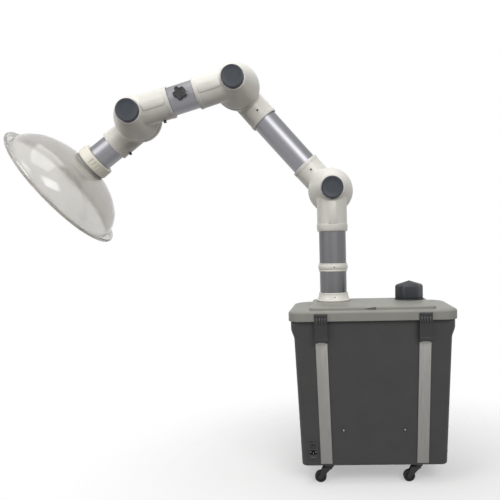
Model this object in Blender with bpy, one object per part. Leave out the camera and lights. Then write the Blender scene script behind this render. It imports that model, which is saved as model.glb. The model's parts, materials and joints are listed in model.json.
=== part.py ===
"""Mobile fume extractor: a wheeled filter cabinet, a jointed suction arm and a clear dome hood.

Lengths are in metres and angles in degrees. The cabinet's front faces -Y and +Z is up. The origin is
the centre of the pad under the cabinet. The arm reaches to the left, towards -X.
"""

import math

import bmesh
import bpy
from mathutils import Matrix

# Clearances
FACE_GAP = 0.0003
ROUND_GAP = 0.0005
CUT_MARGIN = 0.003

# Facets
ROUND_SIDES = 20
HOOD_SIDES = 32
SMALL_SIDES = 10
CORNER_STEPS = 3
DOME_STEPS = 3
HOOD_STEPS = 5
SHARP_ANGLE = 35.0

# Tub
PAD_DEPTH = 0.150
PAD_HEIGHT = 0.005
PAD_TO_CASTER = 0.0095
TUB_HEIGHT = 0.3885
TUB_BOTTOM_WIDTH = 0.378
TUB_TOP_WIDTH = 0.407
TUB_BOTTOM_DEPTH = 0.208
TUB_TOP_DEPTH = 0.226
TUB_CORNER_RADIUS = 0.014
TUB_EDGE_RADIUS = 0.008
TUB_WALL = 0.005
TUB_FLOOR = 0.004
TUB_NECK = 0.0065
NECK_STEP = 0.005
NECK_EASE = 0.0005
LIP_REACH = 0.0085
LIP_HEIGHT = 0.022
LIP_EASE = 0.040

# Lid and its seal
LID_SIDE_OVERHANG = 0.003
LID_FRONT_OVERHANG = 0.012
LID_CORNER_RADIUS = 0.030
LID_RIM_HEIGHT = 0.0265
LID_EDGE_RADIUS = 0.007
LID_WALL = 0.004
SKIRT_WALL = 0.004
LID_CAVITY_INSET = 0.001
PANEL_SIDE_MARGIN = 0.057
PANEL_FRONT_MARGIN = 0.015
PANEL_RISE = 0.008
PANEL_BEVEL = 0.003
PANEL_CORNER_RADIUS = 0.016
SEAL_THICKNESS = 0.003
SEAL_WIDTH = 0.0035
SEAL_INSET = 0.0010

# Straps and latches
STRAP_WIDTH = 0.030
STRAP_THICKNESS = 0.003
STRAP_PAST_STEM = 0.0073
STRAP_LEAN = 0.0072
PIN_DROP = 0.0508
PIN_STANDOFF = 0.0065
PIN_RADIUS = 0.0025
BARREL_RADIUS = 0.0040
BARREL_LENGTH = 0.0255
LATCH_WIDTH = 0.033
LATCH_THICKNESS = 0.004
LATCH_ABOVE_HOOK = 0.0050
LATCH_DROP = 0.0020
CHEEK_RADIUS = 0.0050
CHEEK_STEPS = 6
HOOK_IN_SKIRT = 0.0147
HOOK_THICKNESS = 0.0030
HOOK_REACH = 0.0030
HOOK_CLEARANCE = 0.0007

# Casters
STEM_SIDE_INSET = 0.072
STEM_FRONT_INSET = 0.029
STEM_RADIUS = 0.0040
HEAD_RADIUS = 0.0125
HEAD_HEIGHT = 0.0080
CASTER_TRAIL = 0.025
AXLE_DROP = 0.0325
AXLE_RADIUS = 0.0030
WHEEL_RADIUS = 0.0155
WHEEL_WIDTH = 0.014
WHEEL_SHOULDER = 0.0025
FORK_LEG = 0.0025
FORK_EYE_RADIUS = 0.0065
FORK_ROOT = 0.0075
FORK_SIDE_GAP = 0.0005

# Power inlet and rocker switch
INLET_INSET = 0.030
INLET_Z = 0.047
INLET_WIDTH = 0.026
INLET_HEIGHT = 0.046
INLET_FLANGE = 0.003
INLET_BODY_DEPTH = 0.022
INLET_BORDER = 0.0025
SOCKET_WIDTH = 0.018
SOCKET_HEIGHT = 0.012
SOCKET_DROP = 0.003
SOCKET_DEPTH = 0.013
ROCKER_WIDTH = 0.016
ROCKER_HEIGHT = 0.009
ROCKER_BELOW_TOP = 0.0095
ROCKER_DEPTH = 0.008
ROCKER_PROUD = 0.0015
ROCKER_DIP = 0.0002
ROCKER_CLEARANCE = 0.0007

# Blower, filters and exhaust
DECK_Z = 0.132
DECK_SIDE_GAP = 0.009
DECK_FRONT_GAP = 0.007
DECK_SHEET = 0.002
BLOWER_X = 0.050
BLOWER_Y = -0.004
SCROLL_SMALL_RADIUS = 0.066
SCROLL_LARGE_RADIUS = 0.090
SCROLL_START = 45.0
SCROLL_STEPS = 14
HOUSING_Z = 0.050
HOUSING_WALL = 0.002
EYE_RADIUS = 0.045
MOTOR_RADIUS = 0.062
SHAFT_RADIUS = 0.004
SHAFT_PAST_HUB = 0.003
IMPELLER_RUNNING_GAP = 0.006
IMPELLER_LIFT = 0.003
IMPELLER_HEIGHT = 0.048
IMPELLER_PLATE = 0.003
IMPELLER_HUB_RADIUS = 0.012
BLADE_COUNT = 8
BLADE_LENGTH = 0.018
BLADE_THICKNESS = 0.002
BLADE_TURN = 7.5
FILTER_SIDE_GAP = 0.0067
FILTER_FRONT_GAP = 0.005
FILTER_CORNER_RADIUS = 0.008
FILTER_EDGE = 0.003
CARBON_HEIGHT = 0.080
MAIN_FILTER_HEIGHT = 0.100
PREFILTER_HEIGHT = 0.030
GRILLE_WIDTH = 0.100
GRILLE_HEIGHT = 0.080
GRILLE_THICKNESS = 0.004
GRILLE_BORDER = 0.010
GRILLE_SLOTS = 6
GRILLE_SLOT_HEIGHT = 0.005

# Arm port, spare port and its cap
PORT_SIDE_INSET = 0.057
PORT_REAR_INSET = 0.048
SPARE_SIDE_INSET = 0.046
SPARE_REAR_INSET = 0.0475
CAP_SHY = 0.0010
CAP_FLANGE_REACH = 0.0015
CAP_FLANGE_HEIGHT = 0.004
CAP_BODY_HEIGHT = 0.034
CAP_CHAMFER = 0.005
CAP_PEAK = 0.010
CAP_SPIGOT = 0.020
CAP_WALL = 0.003

# Arm
TUBE_RADIUS = 0.0375
TUBE_WALL = 0.00175
TUBE_INSERT = 0.045
ARM_SWIVEL = 4.0
FLANGE_REACH = 0.0102
FLANGE_NECK_WALL = 0.0020
FLANGE_HEIGHT = 0.024
FLANGE_FOOT = 0.005
FLANGE_CHAMFER = 0.0010
TUBE_BELOW_LID = 0.026
LOWER_TUBE_VISIBLE = 0.059
RING_WALL = 0.0028
RING_HEIGHT = 0.023
RING_CHAMFER = 0.0010
RING_CHAMFER_HEIGHT = 0.0040
RING_LIP = 0.0020
RING_LIP_REACH = 0.0015
COLUMN_HEIGHT = 0.313
SEAM_RADIUS = 0.063
ELBOW_CROWN = 0.0005
ELBOW_RIM = 0.018
DOME_BULGE = 0.04
ELBOW_SEAT_RADIUS = 0.033
ELBOW_WALL = 0.004
SLEEVE_WALL = 0.0035
SLEEVE_LENGTH = 0.110
SLEEVE_TO_SEAM = 0.0105
JOINT_SEAL_THICKNESS = 0.002
JOINT_SEAL_WIDTH = 0.006
BOLT_RADIUS = 0.005
BOLT_HEAD_RADIUS = 0.010
BOLT_HEAD_HEIGHT = 0.006
BOLT_IN_KNOB = 0.007
KNOB_SHY = 0.003
KNOB_HEIGHT = 0.011
KNOB_CHAMFER = 0.0015
MID_LENGTH = 0.391
MID_RISE = 48.6
DAMPER_LENGTH = 0.291
DAMPER_DROP = 16.9
HOOD_DROP = 37.2

# Damper
DAMPER_SHAFT_RADIUS = 0.004
BLADE_CLEARANCE = 0.00125
BLADE_SHEET = 0.002
WING_CORE = 0.009
WING_REACH = 0.011
WING_HEIGHT = 0.018
SHAFT_IN_WING = 0.012

# Hood
HOOD_TUBE_END = 0.203
COLLAR_FROM_END = 0.008
COLLAR_LENGTH = 0.030
COLLAR_WALL = 0.0065
COLLAR_CHAMFER = 0.003
NECK_OVERLAP = 0.025
NECK_WALL = 0.003
DOME_SINK = 0.003
HOOD_WALL = 0.0025
DOME_RADIUS = 0.178
DOME_HEIGHT = 0.110
BRIM_REACH = 0.019
BRIM_EDGE = 0.003
BRIM_LIP = 0.010

# Heights and places that follow from the sizes above
TUB_BOTTOM_Z = PAD_HEIGHT
TUB_TOP_Z = TUB_BOTTOM_Z + TUB_HEIGHT
TUB_FLOOR_Z = TUB_BOTTOM_Z + TUB_FLOOR
LIP_SHOULDER_Z = TUB_TOP_Z - TUB_NECK
LIP_WIDTH = TUB_TOP_WIDTH + 2 * LIP_REACH
TUB_NECK_WIDTH = LIP_WIDTH - 2 * NECK_STEP
SEAL_Z = TUB_TOP_Z + FACE_GAP
CEILING_Z = SEAL_Z + SEAL_THICKNESS + FACE_GAP
SKIRT_Z = LIP_SHOULDER_Z + FACE_GAP
LID_RIM_Z = SKIRT_Z + LID_RIM_HEIGHT
LID_TOP_Z = LID_RIM_Z + PANEL_RISE
LID_WIDTH = LIP_WIDTH + 2 * LID_SIDE_OVERHANG
LID_DEPTH = TUB_TOP_DEPTH + 2 * LID_FRONT_OVERHANG
LID_CAVITY_WIDTH = TUB_TOP_WIDTH - 2 * (TUB_WALL + LID_CAVITY_INSET)
LID_CAVITY_DEPTH = TUB_TOP_DEPTH - 2 * (TUB_WALL + LID_CAVITY_INSET)
PANEL_WIDTH = LID_WIDTH - 2 * PANEL_SIDE_MARGIN
PANEL_DEPTH = LID_DEPTH - 2 * PANEL_FRONT_MARGIN
STEM_X = TUB_BOTTOM_WIDTH / 2 - STEM_SIDE_INSET
STEM_Y = TUB_BOTTOM_DEPTH / 2 - STEM_FRONT_INSET
PAD_WIDTH = 2 * (STEM_X - HEAD_RADIUS - PAD_TO_CASTER)
STRAP_UNDER_Z = TUB_BOTTOM_Z - FACE_GAP - STRAP_THICKNESS
STRAP_BOTTOM_X = STEM_X + STRAP_PAST_STEM
STRAP_TOP_X = STRAP_BOTTOM_X + STRAP_LEAN
PIN_Z = SKIRT_Z - PIN_DROP
HOOK_RISE = PIN_DROP + HOOK_IN_SKIRT
LATCH_RISE = HOOK_RISE + LATCH_ABOVE_HOOK
INLET_X = INLET_INSET - TUB_BOTTOM_WIDTH / 2
ROCKER_RISE = INLET_HEIGHT / 2 - ROCKER_BELOW_TOP
HOUSING_TOP_Z = DECK_Z - DECK_SHEET - FACE_GAP
IMPELLER_RADIUS = SCROLL_SMALL_RADIUS - HOUSING_WALL - IMPELLER_RUNNING_GAP
IMPELLER_Z = HOUSING_Z + HOUSING_WALL + IMPELLER_LIFT
SHAFT_TOP_Z = IMPELLER_Z + IMPELLER_HEIGHT + SHAFT_PAST_HUB
PORT_RADIUS = TUBE_RADIUS + ROUND_GAP
PORT_X = PORT_SIDE_INSET - PANEL_WIDTH / 2
PORT_Y = PANEL_DEPTH / 2 - PORT_REAR_INSET
SPARE_X = PANEL_WIDTH / 2 - SPARE_SIDE_INSET
SPARE_Y = PANEL_DEPTH / 2 - SPARE_REAR_INSET
CAP_RADIUS = TUBE_RADIUS - CAP_SHY
CAP_FLANGE_RADIUS = TUBE_RADIUS + CAP_FLANGE_REACH
FLANGE_RADIUS = TUBE_RADIUS + FLANGE_REACH
FLANGE_NECK_RADIUS = TUBE_RADIUS + ROUND_GAP + FLANGE_NECK_WALL
RING_RADIUS = TUBE_RADIUS + ROUND_GAP + RING_WALL
SLEEVE_RADIUS = TUBE_RADIUS + ROUND_GAP + SLEEVE_WALL
TUBE_OFFSET = SLEEVE_RADIUS + SLEEVE_TO_SEAM
ELBOW_DEPTH = TUBE_OFFSET + SLEEVE_RADIUS + ELBOW_CROWN
SEAM_FACE = JOINT_SEAL_THICKNESS / 2 + FACE_GAP
KNOB_RADIUS = ELBOW_SEAT_RADIUS - KNOB_SHY
BLADE_RADIUS = TUBE_RADIUS - TUBE_WALL - BLADE_CLEARANCE
COLLAR_END = HOOD_TUBE_END - COLLAR_FROM_END
COLLAR_START = COLLAR_END - COLLAR_LENGTH
NECK_START = HOOD_TUBE_END - NECK_OVERLAP
COLLAR_POCKET = TUBE_RADIUS + NECK_WALL + 3 * ROUND_GAP
COLLAR_RADIUS = COLLAR_POCKET + COLLAR_WALL
HOOD_LENGTH = HOOD_TUBE_END + DOME_HEIGHT - DOME_SINK
BRIM_RADIUS = DOME_RADIUS + BRIM_REACH


def tub_width(z):
    """Width of the tapered tub at a height."""
    share = (z - TUB_BOTTOM_Z) / TUB_HEIGHT
    return TUB_BOTTOM_WIDTH + (TUB_TOP_WIDTH - TUB_BOTTOM_WIDTH) * share


def tub_depth(z):
    """Depth of the tapered tub at a height."""
    share = (z - TUB_BOTTOM_Z) / TUB_HEIGHT
    return TUB_BOTTOM_DEPTH + (TUB_TOP_DEPTH - TUB_BOTTOM_DEPTH) * share


def inside_width(z, gap):
    """Width between the tub's walls at a height, less a gap on each side."""
    return tub_width(z) - 2 * (TUB_WALL + gap)


def inside_depth(z, gap):
    """Depth between the tub's walls at a height, less a gap on each side."""
    return tub_depth(z) - 2 * (TUB_WALL + gap)


def material(name, colour, roughness, metallic=0.0, alpha=1.0):
    """A plain Principled material."""
    mat = bpy.data.materials.new(name)
    mat.use_nodes = True
    shader = mat.node_tree.nodes["Principled BSDF"]
    shader.inputs["Base Color"].default_value = (*colour, 1.0)
    shader.inputs["Roughness"].default_value = roughness
    shader.inputs["Metallic"].default_value = metallic
    shader.inputs["Alpha"].default_value = alpha
    return mat


def new_object(name, bm, mat=None):
    """Turns a finished bmesh into an object at the origin."""
    bmesh.ops.recalc_face_normals(bm, faces=bm.faces)
    mesh = bpy.data.meshes.new(name)
    bm.to_mesh(mesh)
    bm.free()
    if mat:
        mesh.materials.append(mat)
    obj = bpy.data.objects.new(name, mesh)
    bpy.context.scene.collection.objects.link(obj)
    return obj


def turned(name, profile, mat=None, sides=ROUND_SIDES):
    """A body turned about Z from (radius, height) points, open only where it meets the axis."""
    bm = bmesh.new()
    points = [bm.verts.new((radius, 0.0, height)) for radius, height in profile]
    edges = [bm.edges.new(pair) for pair in zip(points, points[1:])]
    if profile[0][0] > 0.0:
        edges.append(bm.edges.new((points[-1], points[0])))
    whole_turn = {"cent": (0, 0, 0), "axis": (0, 0, 1), "angle": 2 * math.pi}
    bmesh.ops.spin(bm, geom=points + edges, steps=sides, use_merge=True, **whole_turn)
    bmesh.ops.remove_doubles(bm, verts=bm.verts, dist=0.00001)
    return new_object(name, bm, mat)


def prism(name, outline, low, high, mat=None):
    """An outline in X and Y, drawn from one height to another."""
    bottom = [(x, y, low) for x, y in outline]
    top = [(x, y, high) for x, y in outline]
    return loft(name, [bottom, top], mat)


def loft(name, loops, mat=None, closed=False):
    """A skin through loops of equal count, capped at both ends or closed into a ring."""
    bm = bmesh.new()
    rings = [[bm.verts.new(point) for point in loop] for loop in loops]
    pairs = list(zip(rings, rings[1:]))
    if closed:
        pairs.append((rings[-1], rings[0]))
    for lower, upper in pairs:
        for i in range(len(lower)):
            j = (i + 1) % len(lower)
            bm.faces.new((lower[i], lower[j], upper[j], upper[i]))
    if not closed:
        bm.faces.new(list(reversed(rings[0])))
        bm.faces.new(rings[-1])
    return new_object(name, bm, mat)


def box(name, size, centre, mat=None):
    """A plain box."""
    bm = bmesh.new()
    bmesh.ops.create_cube(bm, size=1.0, matrix=Matrix.Translation(centre) @ Matrix.Diagonal((*size, 1.0)))
    return new_object(name, bm, mat)


def rod(name, axis, radius, low, high, mat=None, sides=ROUND_SIDES, centre=(0.0, 0.0, 0.0)):
    """A round rod along one axis, between two places on that axis."""
    obj = turned(name, [(0.0, low), (radius, low), (radius, high), (0.0, high)], mat, sides)
    point_along(obj, axis)
    obj.data.transform(Matrix.Translation(centre))
    return obj


def point_along(obj, axis):
    """Turns a mesh that was built along +Z so that it runs along another axis."""
    turns = {
        "+X": Matrix.Rotation(math.radians(90), 4, "Y"),
        "+Y": Matrix.Rotation(math.radians(-90), 4, "X"),
        "-Y": Matrix.Rotation(math.radians(90), 4, "X"),
        "+Z": Matrix.Identity(4),
    }
    obj.data.transform(turns[axis])


def combine(body, tool, operation="DIFFERENCE"):
    """Cuts a tool out of a body, or joins it on, and removes the tool."""
    modifier = body.modifiers.new("combine", "BOOLEAN")
    modifier.operation = operation
    modifier.solver = "EXACT"
    modifier.object = tool
    graph = bpy.context.evaluated_depsgraph_get()
    mesh = bpy.data.meshes.new_from_object(body.evaluated_get(graph))
    body.modifiers.remove(modifier)
    old = body.data
    body.data = mesh
    bpy.data.meshes.remove(old)
    bpy.data.objects.remove(tool, do_unlink=True)


def cut_all(body, tools):
    """Cuts several tools out of a body."""
    for tool in tools:
        combine(body, tool, "DIFFERENCE")


def copy_of(obj, name):
    """Another object with the same mesh."""
    twin = bpy.data.objects.new(name, obj.data)
    bpy.context.scene.collection.objects.link(twin)
    return twin


def seat(obj, parent=None, location=(0.0, 0.0, 0.0), turn=(0.0, 0.0, 0.0)):
    """Places an object under its parent; the turn is in degrees."""
    obj.parent = parent
    obj.location = location
    obj.rotation_euler = [math.radians(angle) for angle in turn]
    return obj


def axis_point(name, parent, location, turn=(0.0, 0.0, 0.0)):
    """An empty that marks a joint."""
    empty = bpy.data.objects.new(name, None)
    empty.empty_display_size = 0.05
    bpy.context.scene.collection.objects.link(empty)
    return seat(empty, parent, location, turn)


def rounded_rectangle(width, depth, radius, z):
    """Points of a rounded rectangle at one height."""
    points = []
    for corner, (side_x, side_y) in enumerate(((1, 1), (-1, 1), (-1, -1), (1, -1))):
        for step in range(CORNER_STEPS + 1):
            angle = math.radians(90 * corner + 90 * step / CORNER_STEPS)
            x = side_x * (width / 2 - radius) + radius * math.cos(angle)
            y = side_y * (depth / 2 - radius) + radius * math.sin(angle)
            points.append((x, y, z))
    return points


def wall_place(x, z, face):
    """Place on the tub's drafted front (-1) or rear (+1) face: X to the right, Y into the wall, Z up."""
    draft = math.atan2((TUB_TOP_DEPTH - TUB_BOTTOM_DEPTH) / 2, TUB_HEIGHT)
    spot = Matrix.Translation((x, face * tub_depth(z) / 2, z))
    heading = Matrix.Rotation(math.radians(180) if face > 0 else 0.0, 4, "Z")
    return spot @ heading @ Matrix.Rotation(draft, 4, "X")


def make_tub(mat):
    """The moulded tub with its foot pad, side lips and openings."""
    straight_z = TUB_BOTTOM_Z + TUB_EDGE_RADIUS
    loops = []
    for angle in (0.0, 45.0, 90.0):
        inset = TUB_EDGE_RADIUS * (1 - math.sin(math.radians(angle)))
        z = TUB_BOTTOM_Z + TUB_EDGE_RADIUS * (1 - math.cos(math.radians(angle)))
        width = tub_width(straight_z) - 2 * inset
        depth = tub_depth(straight_z) - 2 * inset
        loops.append(rounded_rectangle(width, depth, TUB_CORNER_RADIUS - inset, z))
    lip_low_z = LIP_SHOULDER_Z - LIP_HEIGHT
    for share, swell in ((1.0, 0.0), (0.55, 0.5), (0.0, 1.0)):
        z = lip_low_z - LIP_EASE * share
        width = tub_width(z) + (LIP_WIDTH - tub_width(z)) * swell
        loops.append(rounded_rectangle(width, tub_depth(z), TUB_CORNER_RADIUS, z))
    shoulder_depth = tub_depth(LIP_SHOULDER_Z)
    neck_depth = shoulder_depth - NECK_EASE
    loops.append(rounded_rectangle(LIP_WIDTH, shoulder_depth, TUB_CORNER_RADIUS, LIP_SHOULDER_Z))
    loops.append(rounded_rectangle(TUB_NECK_WIDTH, neck_depth, TUB_CORNER_RADIUS, LIP_SHOULDER_Z))
    loops.append(rounded_rectangle(TUB_NECK_WIDTH, TUB_TOP_DEPTH, TUB_CORNER_RADIUS, TUB_TOP_Z))
    inner_corner = TUB_CORNER_RADIUS - TUB_WALL
    for z in (TUB_TOP_Z, TUB_FLOOR_Z):
        width = tub_width(z) - 2 * TUB_WALL
        loops.append(rounded_rectangle(width, tub_depth(z) - 2 * TUB_WALL, inner_corner, z))
    tub = loft("tub", loops, mat)
    pad_height = PAD_HEIGHT + TUB_FLOOR / 2
    combine(tub, box("pad", (PAD_WIDTH, PAD_DEPTH, pad_height), (0, 0, pad_height / 2)), "UNION")
    tools = []
    stem_hole = STEM_RADIUS + ROUND_GAP
    high_z = TUB_FLOOR_Z + CUT_MARGIN
    for x in (-STEM_X, STEM_X):
        for y in (-STEM_Y, STEM_Y):
            tools.append(rod("hole", "+Z", stem_hole, 0.0, high_z, None, SMALL_SIDES, (x, y, 0.0)))
    opening = (INLET_WIDTH - 2 * INLET_BORDER, 4 * TUB_WALL, INLET_HEIGHT - 2 * INLET_BORDER)
    inlet_hole = box("hole", opening, (0, TUB_WALL, 0))
    inlet_hole.data.transform(wall_place(INLET_X, INLET_Z, -1))
    tools.append(inlet_hole)
    opening = (GRILLE_WIDTH - 2 * GRILLE_BORDER, 4 * TUB_WALL, GRILLE_HEIGHT - 2 * GRILLE_BORDER)
    exhaust_hole = box("hole", opening, (0, TUB_WALL, 0))
    exhaust_hole.data.transform(wall_place(outlet_x(), outlet_z(), 1))
    tools.append(exhaust_hole)
    cut_all(tub, tools)
    return tub


def make_lid(mat):
    """The lid with its skirt, raised panel, two ports and four latch slots."""
    skirt_width = LID_WIDTH - 2 * SKIRT_WALL
    skirt_depth = LID_DEPTH - 2 * SKIRT_WALL
    panel_corner = PANEL_CORNER_RADIUS
    inner_panel = (PANEL_WIDTH - 2 * LID_WALL, PANEL_DEPTH - 2 * LID_WALL, panel_corner - LID_WALL)
    cavity_z = LID_RIM_Z - LID_WALL
    cavity = (LID_CAVITY_WIDTH, LID_CAVITY_DEPTH, TUB_CORNER_RADIUS)
    skirt = (skirt_width, skirt_depth, LID_CORNER_RADIUS - SKIRT_WALL)
    outer = (LID_WIDTH, LID_DEPTH, LID_CORNER_RADIUS)
    loops = [
        rounded_rectangle(*inner_panel, LID_TOP_Z - LID_WALL),
        rounded_rectangle(*inner_panel, cavity_z),
        rounded_rectangle(*cavity, cavity_z),
        rounded_rectangle(*cavity, CEILING_Z),
        rounded_rectangle(*skirt, CEILING_Z),
        rounded_rectangle(*skirt, SKIRT_Z),
        rounded_rectangle(*outer, SKIRT_Z),
    ]
    for angle in (0.0, 30.0, 60.0, 90.0):
        inset = LID_EDGE_RADIUS * (1 - math.cos(math.radians(angle)))
        z = LID_RIM_Z - LID_EDGE_RADIUS * (1 - math.sin(math.radians(angle)))
        corner = LID_CORNER_RADIUS - inset
        loops.append(rounded_rectangle(LID_WIDTH - 2 * inset, LID_DEPTH - 2 * inset, corner, z))
    foot = (PANEL_WIDTH + 2 * PANEL_BEVEL, PANEL_DEPTH + 2 * PANEL_BEVEL, panel_corner + PANEL_BEVEL)
    loops.append(rounded_rectangle(*foot, LID_RIM_Z))
    loops.append(rounded_rectangle(PANEL_WIDTH, PANEL_DEPTH, panel_corner, LID_TOP_Z))
    lid = loft("lid", loops, mat)
    tools = []
    for x, y in ((PORT_X, PORT_Y), (SPARE_X, SPARE_Y)):
        hole = rod("hole", "+Z", PORT_RADIUS, CEILING_Z, LID_TOP_Z + CUT_MARGIN)
        hole.data.transform(Matrix.Translation((x, y, 0.0)))
        tools.append(hole)
    slot_size = (
        LATCH_WIDTH - 2 * HOOK_REACH + 2 * HOOK_CLEARANCE,
        2 * (HOOK_REACH + HOOK_CLEARANCE),
        HOOK_THICKNESS + 2 * HOOK_CLEARANCE,
    )
    for x in (-STRAP_TOP_X, STRAP_TOP_X):
        for y in (-LID_DEPTH / 2, LID_DEPTH / 2):
            tools.append(box("slot", slot_size, (x, y, PIN_Z + HOOK_RISE)))
    cut_all(lid, tools)
    return lid


def make_seal(mat):
    """The gasket between the tub's rim and the lid."""
    width = inside_width(TUB_TOP_Z, -SEAL_INSET - SEAL_WIDTH)
    depth = inside_depth(TUB_TOP_Z, -SEAL_INSET - SEAL_WIDTH)
    corner = TUB_CORNER_RADIUS - TUB_WALL + SEAL_INSET + SEAL_WIDTH
    inner = (width - 2 * SEAL_WIDTH, depth - 2 * SEAL_WIDTH, corner - SEAL_WIDTH)
    top_z = SEAL_Z + SEAL_THICKNESS
    loops = [
        rounded_rectangle(width, depth, corner, SEAL_Z),
        rounded_rectangle(width, depth, corner, top_z),
        rounded_rectangle(*inner, top_z),
        rounded_rectangle(*inner, SEAL_Z),
    ]
    return loft("lid_seal", loops, mat, closed=True)


def pin_y():
    """How far the latch pins stand from the cabinet's middle."""
    return tub_depth(PIN_Z) / 2 + PIN_STANDOFF


def make_strap(name, side, mat):
    """A flat bar that runs down one face, under the tub and up the other, with a pin at each top."""
    straight_z = TUB_BOTTOM_Z + TUB_EDGE_RADIUS
    bend_y = tub_depth(straight_z) / 2 - TUB_EDGE_RADIUS
    neck_z = PIN_Z - CHEEK_RADIUS - 2 * FACE_GAP
    path = []
    neck_width = BARREL_LENGTH - 2 * STRAP_THICKNESS
    for z, width in ((PIN_Z, neck_width), (neck_z, neck_width), (neck_z - FACE_GAP, STRAP_WIDTH)):
        face_y = tub_depth(z) / 2 + FACE_GAP
        path.append((width, face_y, z, face_y + STRAP_THICKNESS, z))
    for angle in (90.0, 45.0, 0.0):
        out = math.sin(math.radians(angle))
        down = math.cos(math.radians(angle))
        near = TUB_EDGE_RADIUS + FACE_GAP
        far = near + STRAP_THICKNESS
        inner = (bend_y + near * out, straight_z - near * down)
        outer = (bend_y + far * out, straight_z - far * down)
        path.append((STRAP_WIDTH, *inner, *outer))
    loops = []
    for face, run in ((-1, path), (1, list(reversed(path)))):
        for width, near_y, near_z, far_y, far_z in run:
            lean = STRAP_LEAN * max(0.0, near_z - TUB_BOTTOM_Z) / (PIN_Z - TUB_BOTTOM_Z)
            x = side * (STRAP_BOTTOM_X + lean)
            loops.append(
                [
                    (x - width / 2, face * near_y, near_z),
                    (x + width / 2, face * near_y, near_z),
                    (x + width / 2, face * far_y, far_z),
                    (x - width / 2, face * far_y, far_z),
                ]
            )
    strap = loft(name, loops, mat)
    pin_length = LATCH_WIDTH - 2 * FACE_GAP
    x = side * STRAP_TOP_X
    for face in (-1, 1):
        spot = (x, face * pin_y(), PIN_Z)
        profile = [
            (0.0, -pin_length / 2),
            (PIN_RADIUS, -pin_length / 2),
            (PIN_RADIUS, -BARREL_LENGTH / 2),
            (BARREL_RADIUS, -BARREL_LENGTH / 2),
            (BARREL_RADIUS, BARREL_LENGTH / 2),
            (PIN_RADIUS, BARREL_LENGTH / 2),
            (PIN_RADIUS, pin_length / 2),
            (0.0, pin_length / 2),
        ]
        barrel = turned("barrel", profile, None, SMALL_SIDES)
        point_along(barrel, "+X")
        barrel.data.transform(Matrix.Translation(spot))
        combine(strap, barrel, "UNION")
    for y in (-STEM_Y, STEM_Y):
        low_z = STRAP_UNDER_Z - CUT_MARGIN
        high_z = TUB_BOTTOM_Z + CUT_MARGIN
        spot = (side * STEM_X, y, 0.0)
        combine(strap, rod("hole", "+Z", STEM_RADIUS + ROUND_GAP, low_z, high_z, None, SMALL_SIDES, spot))
    return strap


def make_latch(name, mat):
    """A latch lever for the front face, with its pin axis along X at the origin."""
    back_y = pin_y() - LID_DEPTH / 2 - FACE_GAP
    front_y = back_y - LATCH_THICKNESS
    height = LATCH_RISE + LATCH_DROP
    plate_centre = (0, back_y - LATCH_THICKNESS / 2, (LATCH_RISE - LATCH_DROP) / 2)
    latch = box(name, (LATCH_WIDTH, LATCH_THICKNESS, height), plate_centre, mat)
    web_y = (back_y + front_y) / 2
    outline = [(web_y, CHEEK_RADIUS), (web_y, -LATCH_DROP)]
    start = math.degrees(math.atan2(-LATCH_DROP, -math.sqrt(CHEEK_RADIUS**2 - LATCH_DROP**2)))
    for step in range(CHEEK_STEPS + 1):
        angle = math.radians(start + (90.0 - start) * step / CHEEK_STEPS)
        outline.append((CHEEK_RADIUS * math.cos(angle), CHEEK_RADIUS * math.sin(angle)))
    inner_x = BARREL_LENGTH / 2 + FACE_GAP
    outer_x = LATCH_WIDTH / 2 - FACE_GAP
    for low, high in ((-outer_x, -inner_x), (inner_x, outer_x)):
        left = [(low, y, z) for y, z in outline]
        right = [(high, y, z) for y, z in outline]
        combine(latch, loft("cheek", [left, right]), "UNION")
    hook_length = HOOK_REACH + LATCH_THICKNESS / 2 + FACE_GAP
    hook_centre = (0, web_y + hook_length / 2, HOOK_RISE)
    hook_size = (LATCH_WIDTH - 2 * HOOK_REACH, hook_length, HOOK_THICKNESS)
    combine(latch, box("hook", hook_size, hook_centre), "UNION")
    combine(latch, rod("hole", "+X", PIN_RADIUS + ROUND_GAP, -LATCH_WIDTH, LATCH_WIDTH, None, SMALL_SIDES))
    return latch


def make_fork(name, mat):
    """A caster fork with its stem, head, two legs and axle; the origin is on the stem's axis."""
    head_z = STRAP_UNDER_Z - FACE_GAP
    head_profile = [
        (0.0, head_z - HEAD_HEIGHT),
        (HEAD_RADIUS, head_z - HEAD_HEIGHT),
        (HEAD_RADIUS, head_z),
        (STEM_RADIUS, head_z),
        (STEM_RADIUS, TUB_FLOOR_Z - FACE_GAP),
        (0.0, TUB_FLOOR_Z - FACE_GAP),
    ]
    fork = turned(name, head_profile, mat, SMALL_SIDES)
    top_z = head_z - HEAD_HEIGHT / 2
    inner_y = WHEEL_WIDTH / 2 + FORK_SIDE_GAP
    outline = [(FORK_ROOT, top_z), (-FORK_ROOT, top_z)]
    for step in range(5):
        angle = math.radians(160.0 + 45.0 * step)
        x = -CASTER_TRAIL + FORK_EYE_RADIUS * math.cos(angle)
        outline.append((x, -AXLE_DROP + FORK_EYE_RADIUS * math.sin(angle)))
    for low, high in ((-inner_y - FORK_LEG, -inner_y), (inner_y, inner_y + FORK_LEG)):
        near = [(x, low, z) for x, z in outline]
        far = [(x, high, z) for x, z in outline]
        combine(fork, loft("leg", [near, far]), "UNION")
    reach = inner_y + FORK_LEG / 2
    axle = rod("axle", "+Y", AXLE_RADIUS, -reach, reach, None, SMALL_SIDES, (-CASTER_TRAIL, 0, -AXLE_DROP))
    combine(fork, axle, "UNION")
    return fork


def make_wheel(name, mat):
    """A caster wheel about its axle, which runs along Y."""
    half = WHEEL_WIDTH / 2
    bore = AXLE_RADIUS + ROUND_GAP
    shoulder = WHEEL_RADIUS - WHEEL_SHOULDER
    profile = [
        (bore, -half),
        (shoulder, -half),
        (WHEEL_RADIUS, WHEEL_SHOULDER - half),
        (WHEEL_RADIUS, half - WHEEL_SHOULDER),
        (shoulder, half),
        (bore, half),
    ]
    wheel = turned(name, profile, mat)
    point_along(wheel, "+Y")
    return wheel


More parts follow.
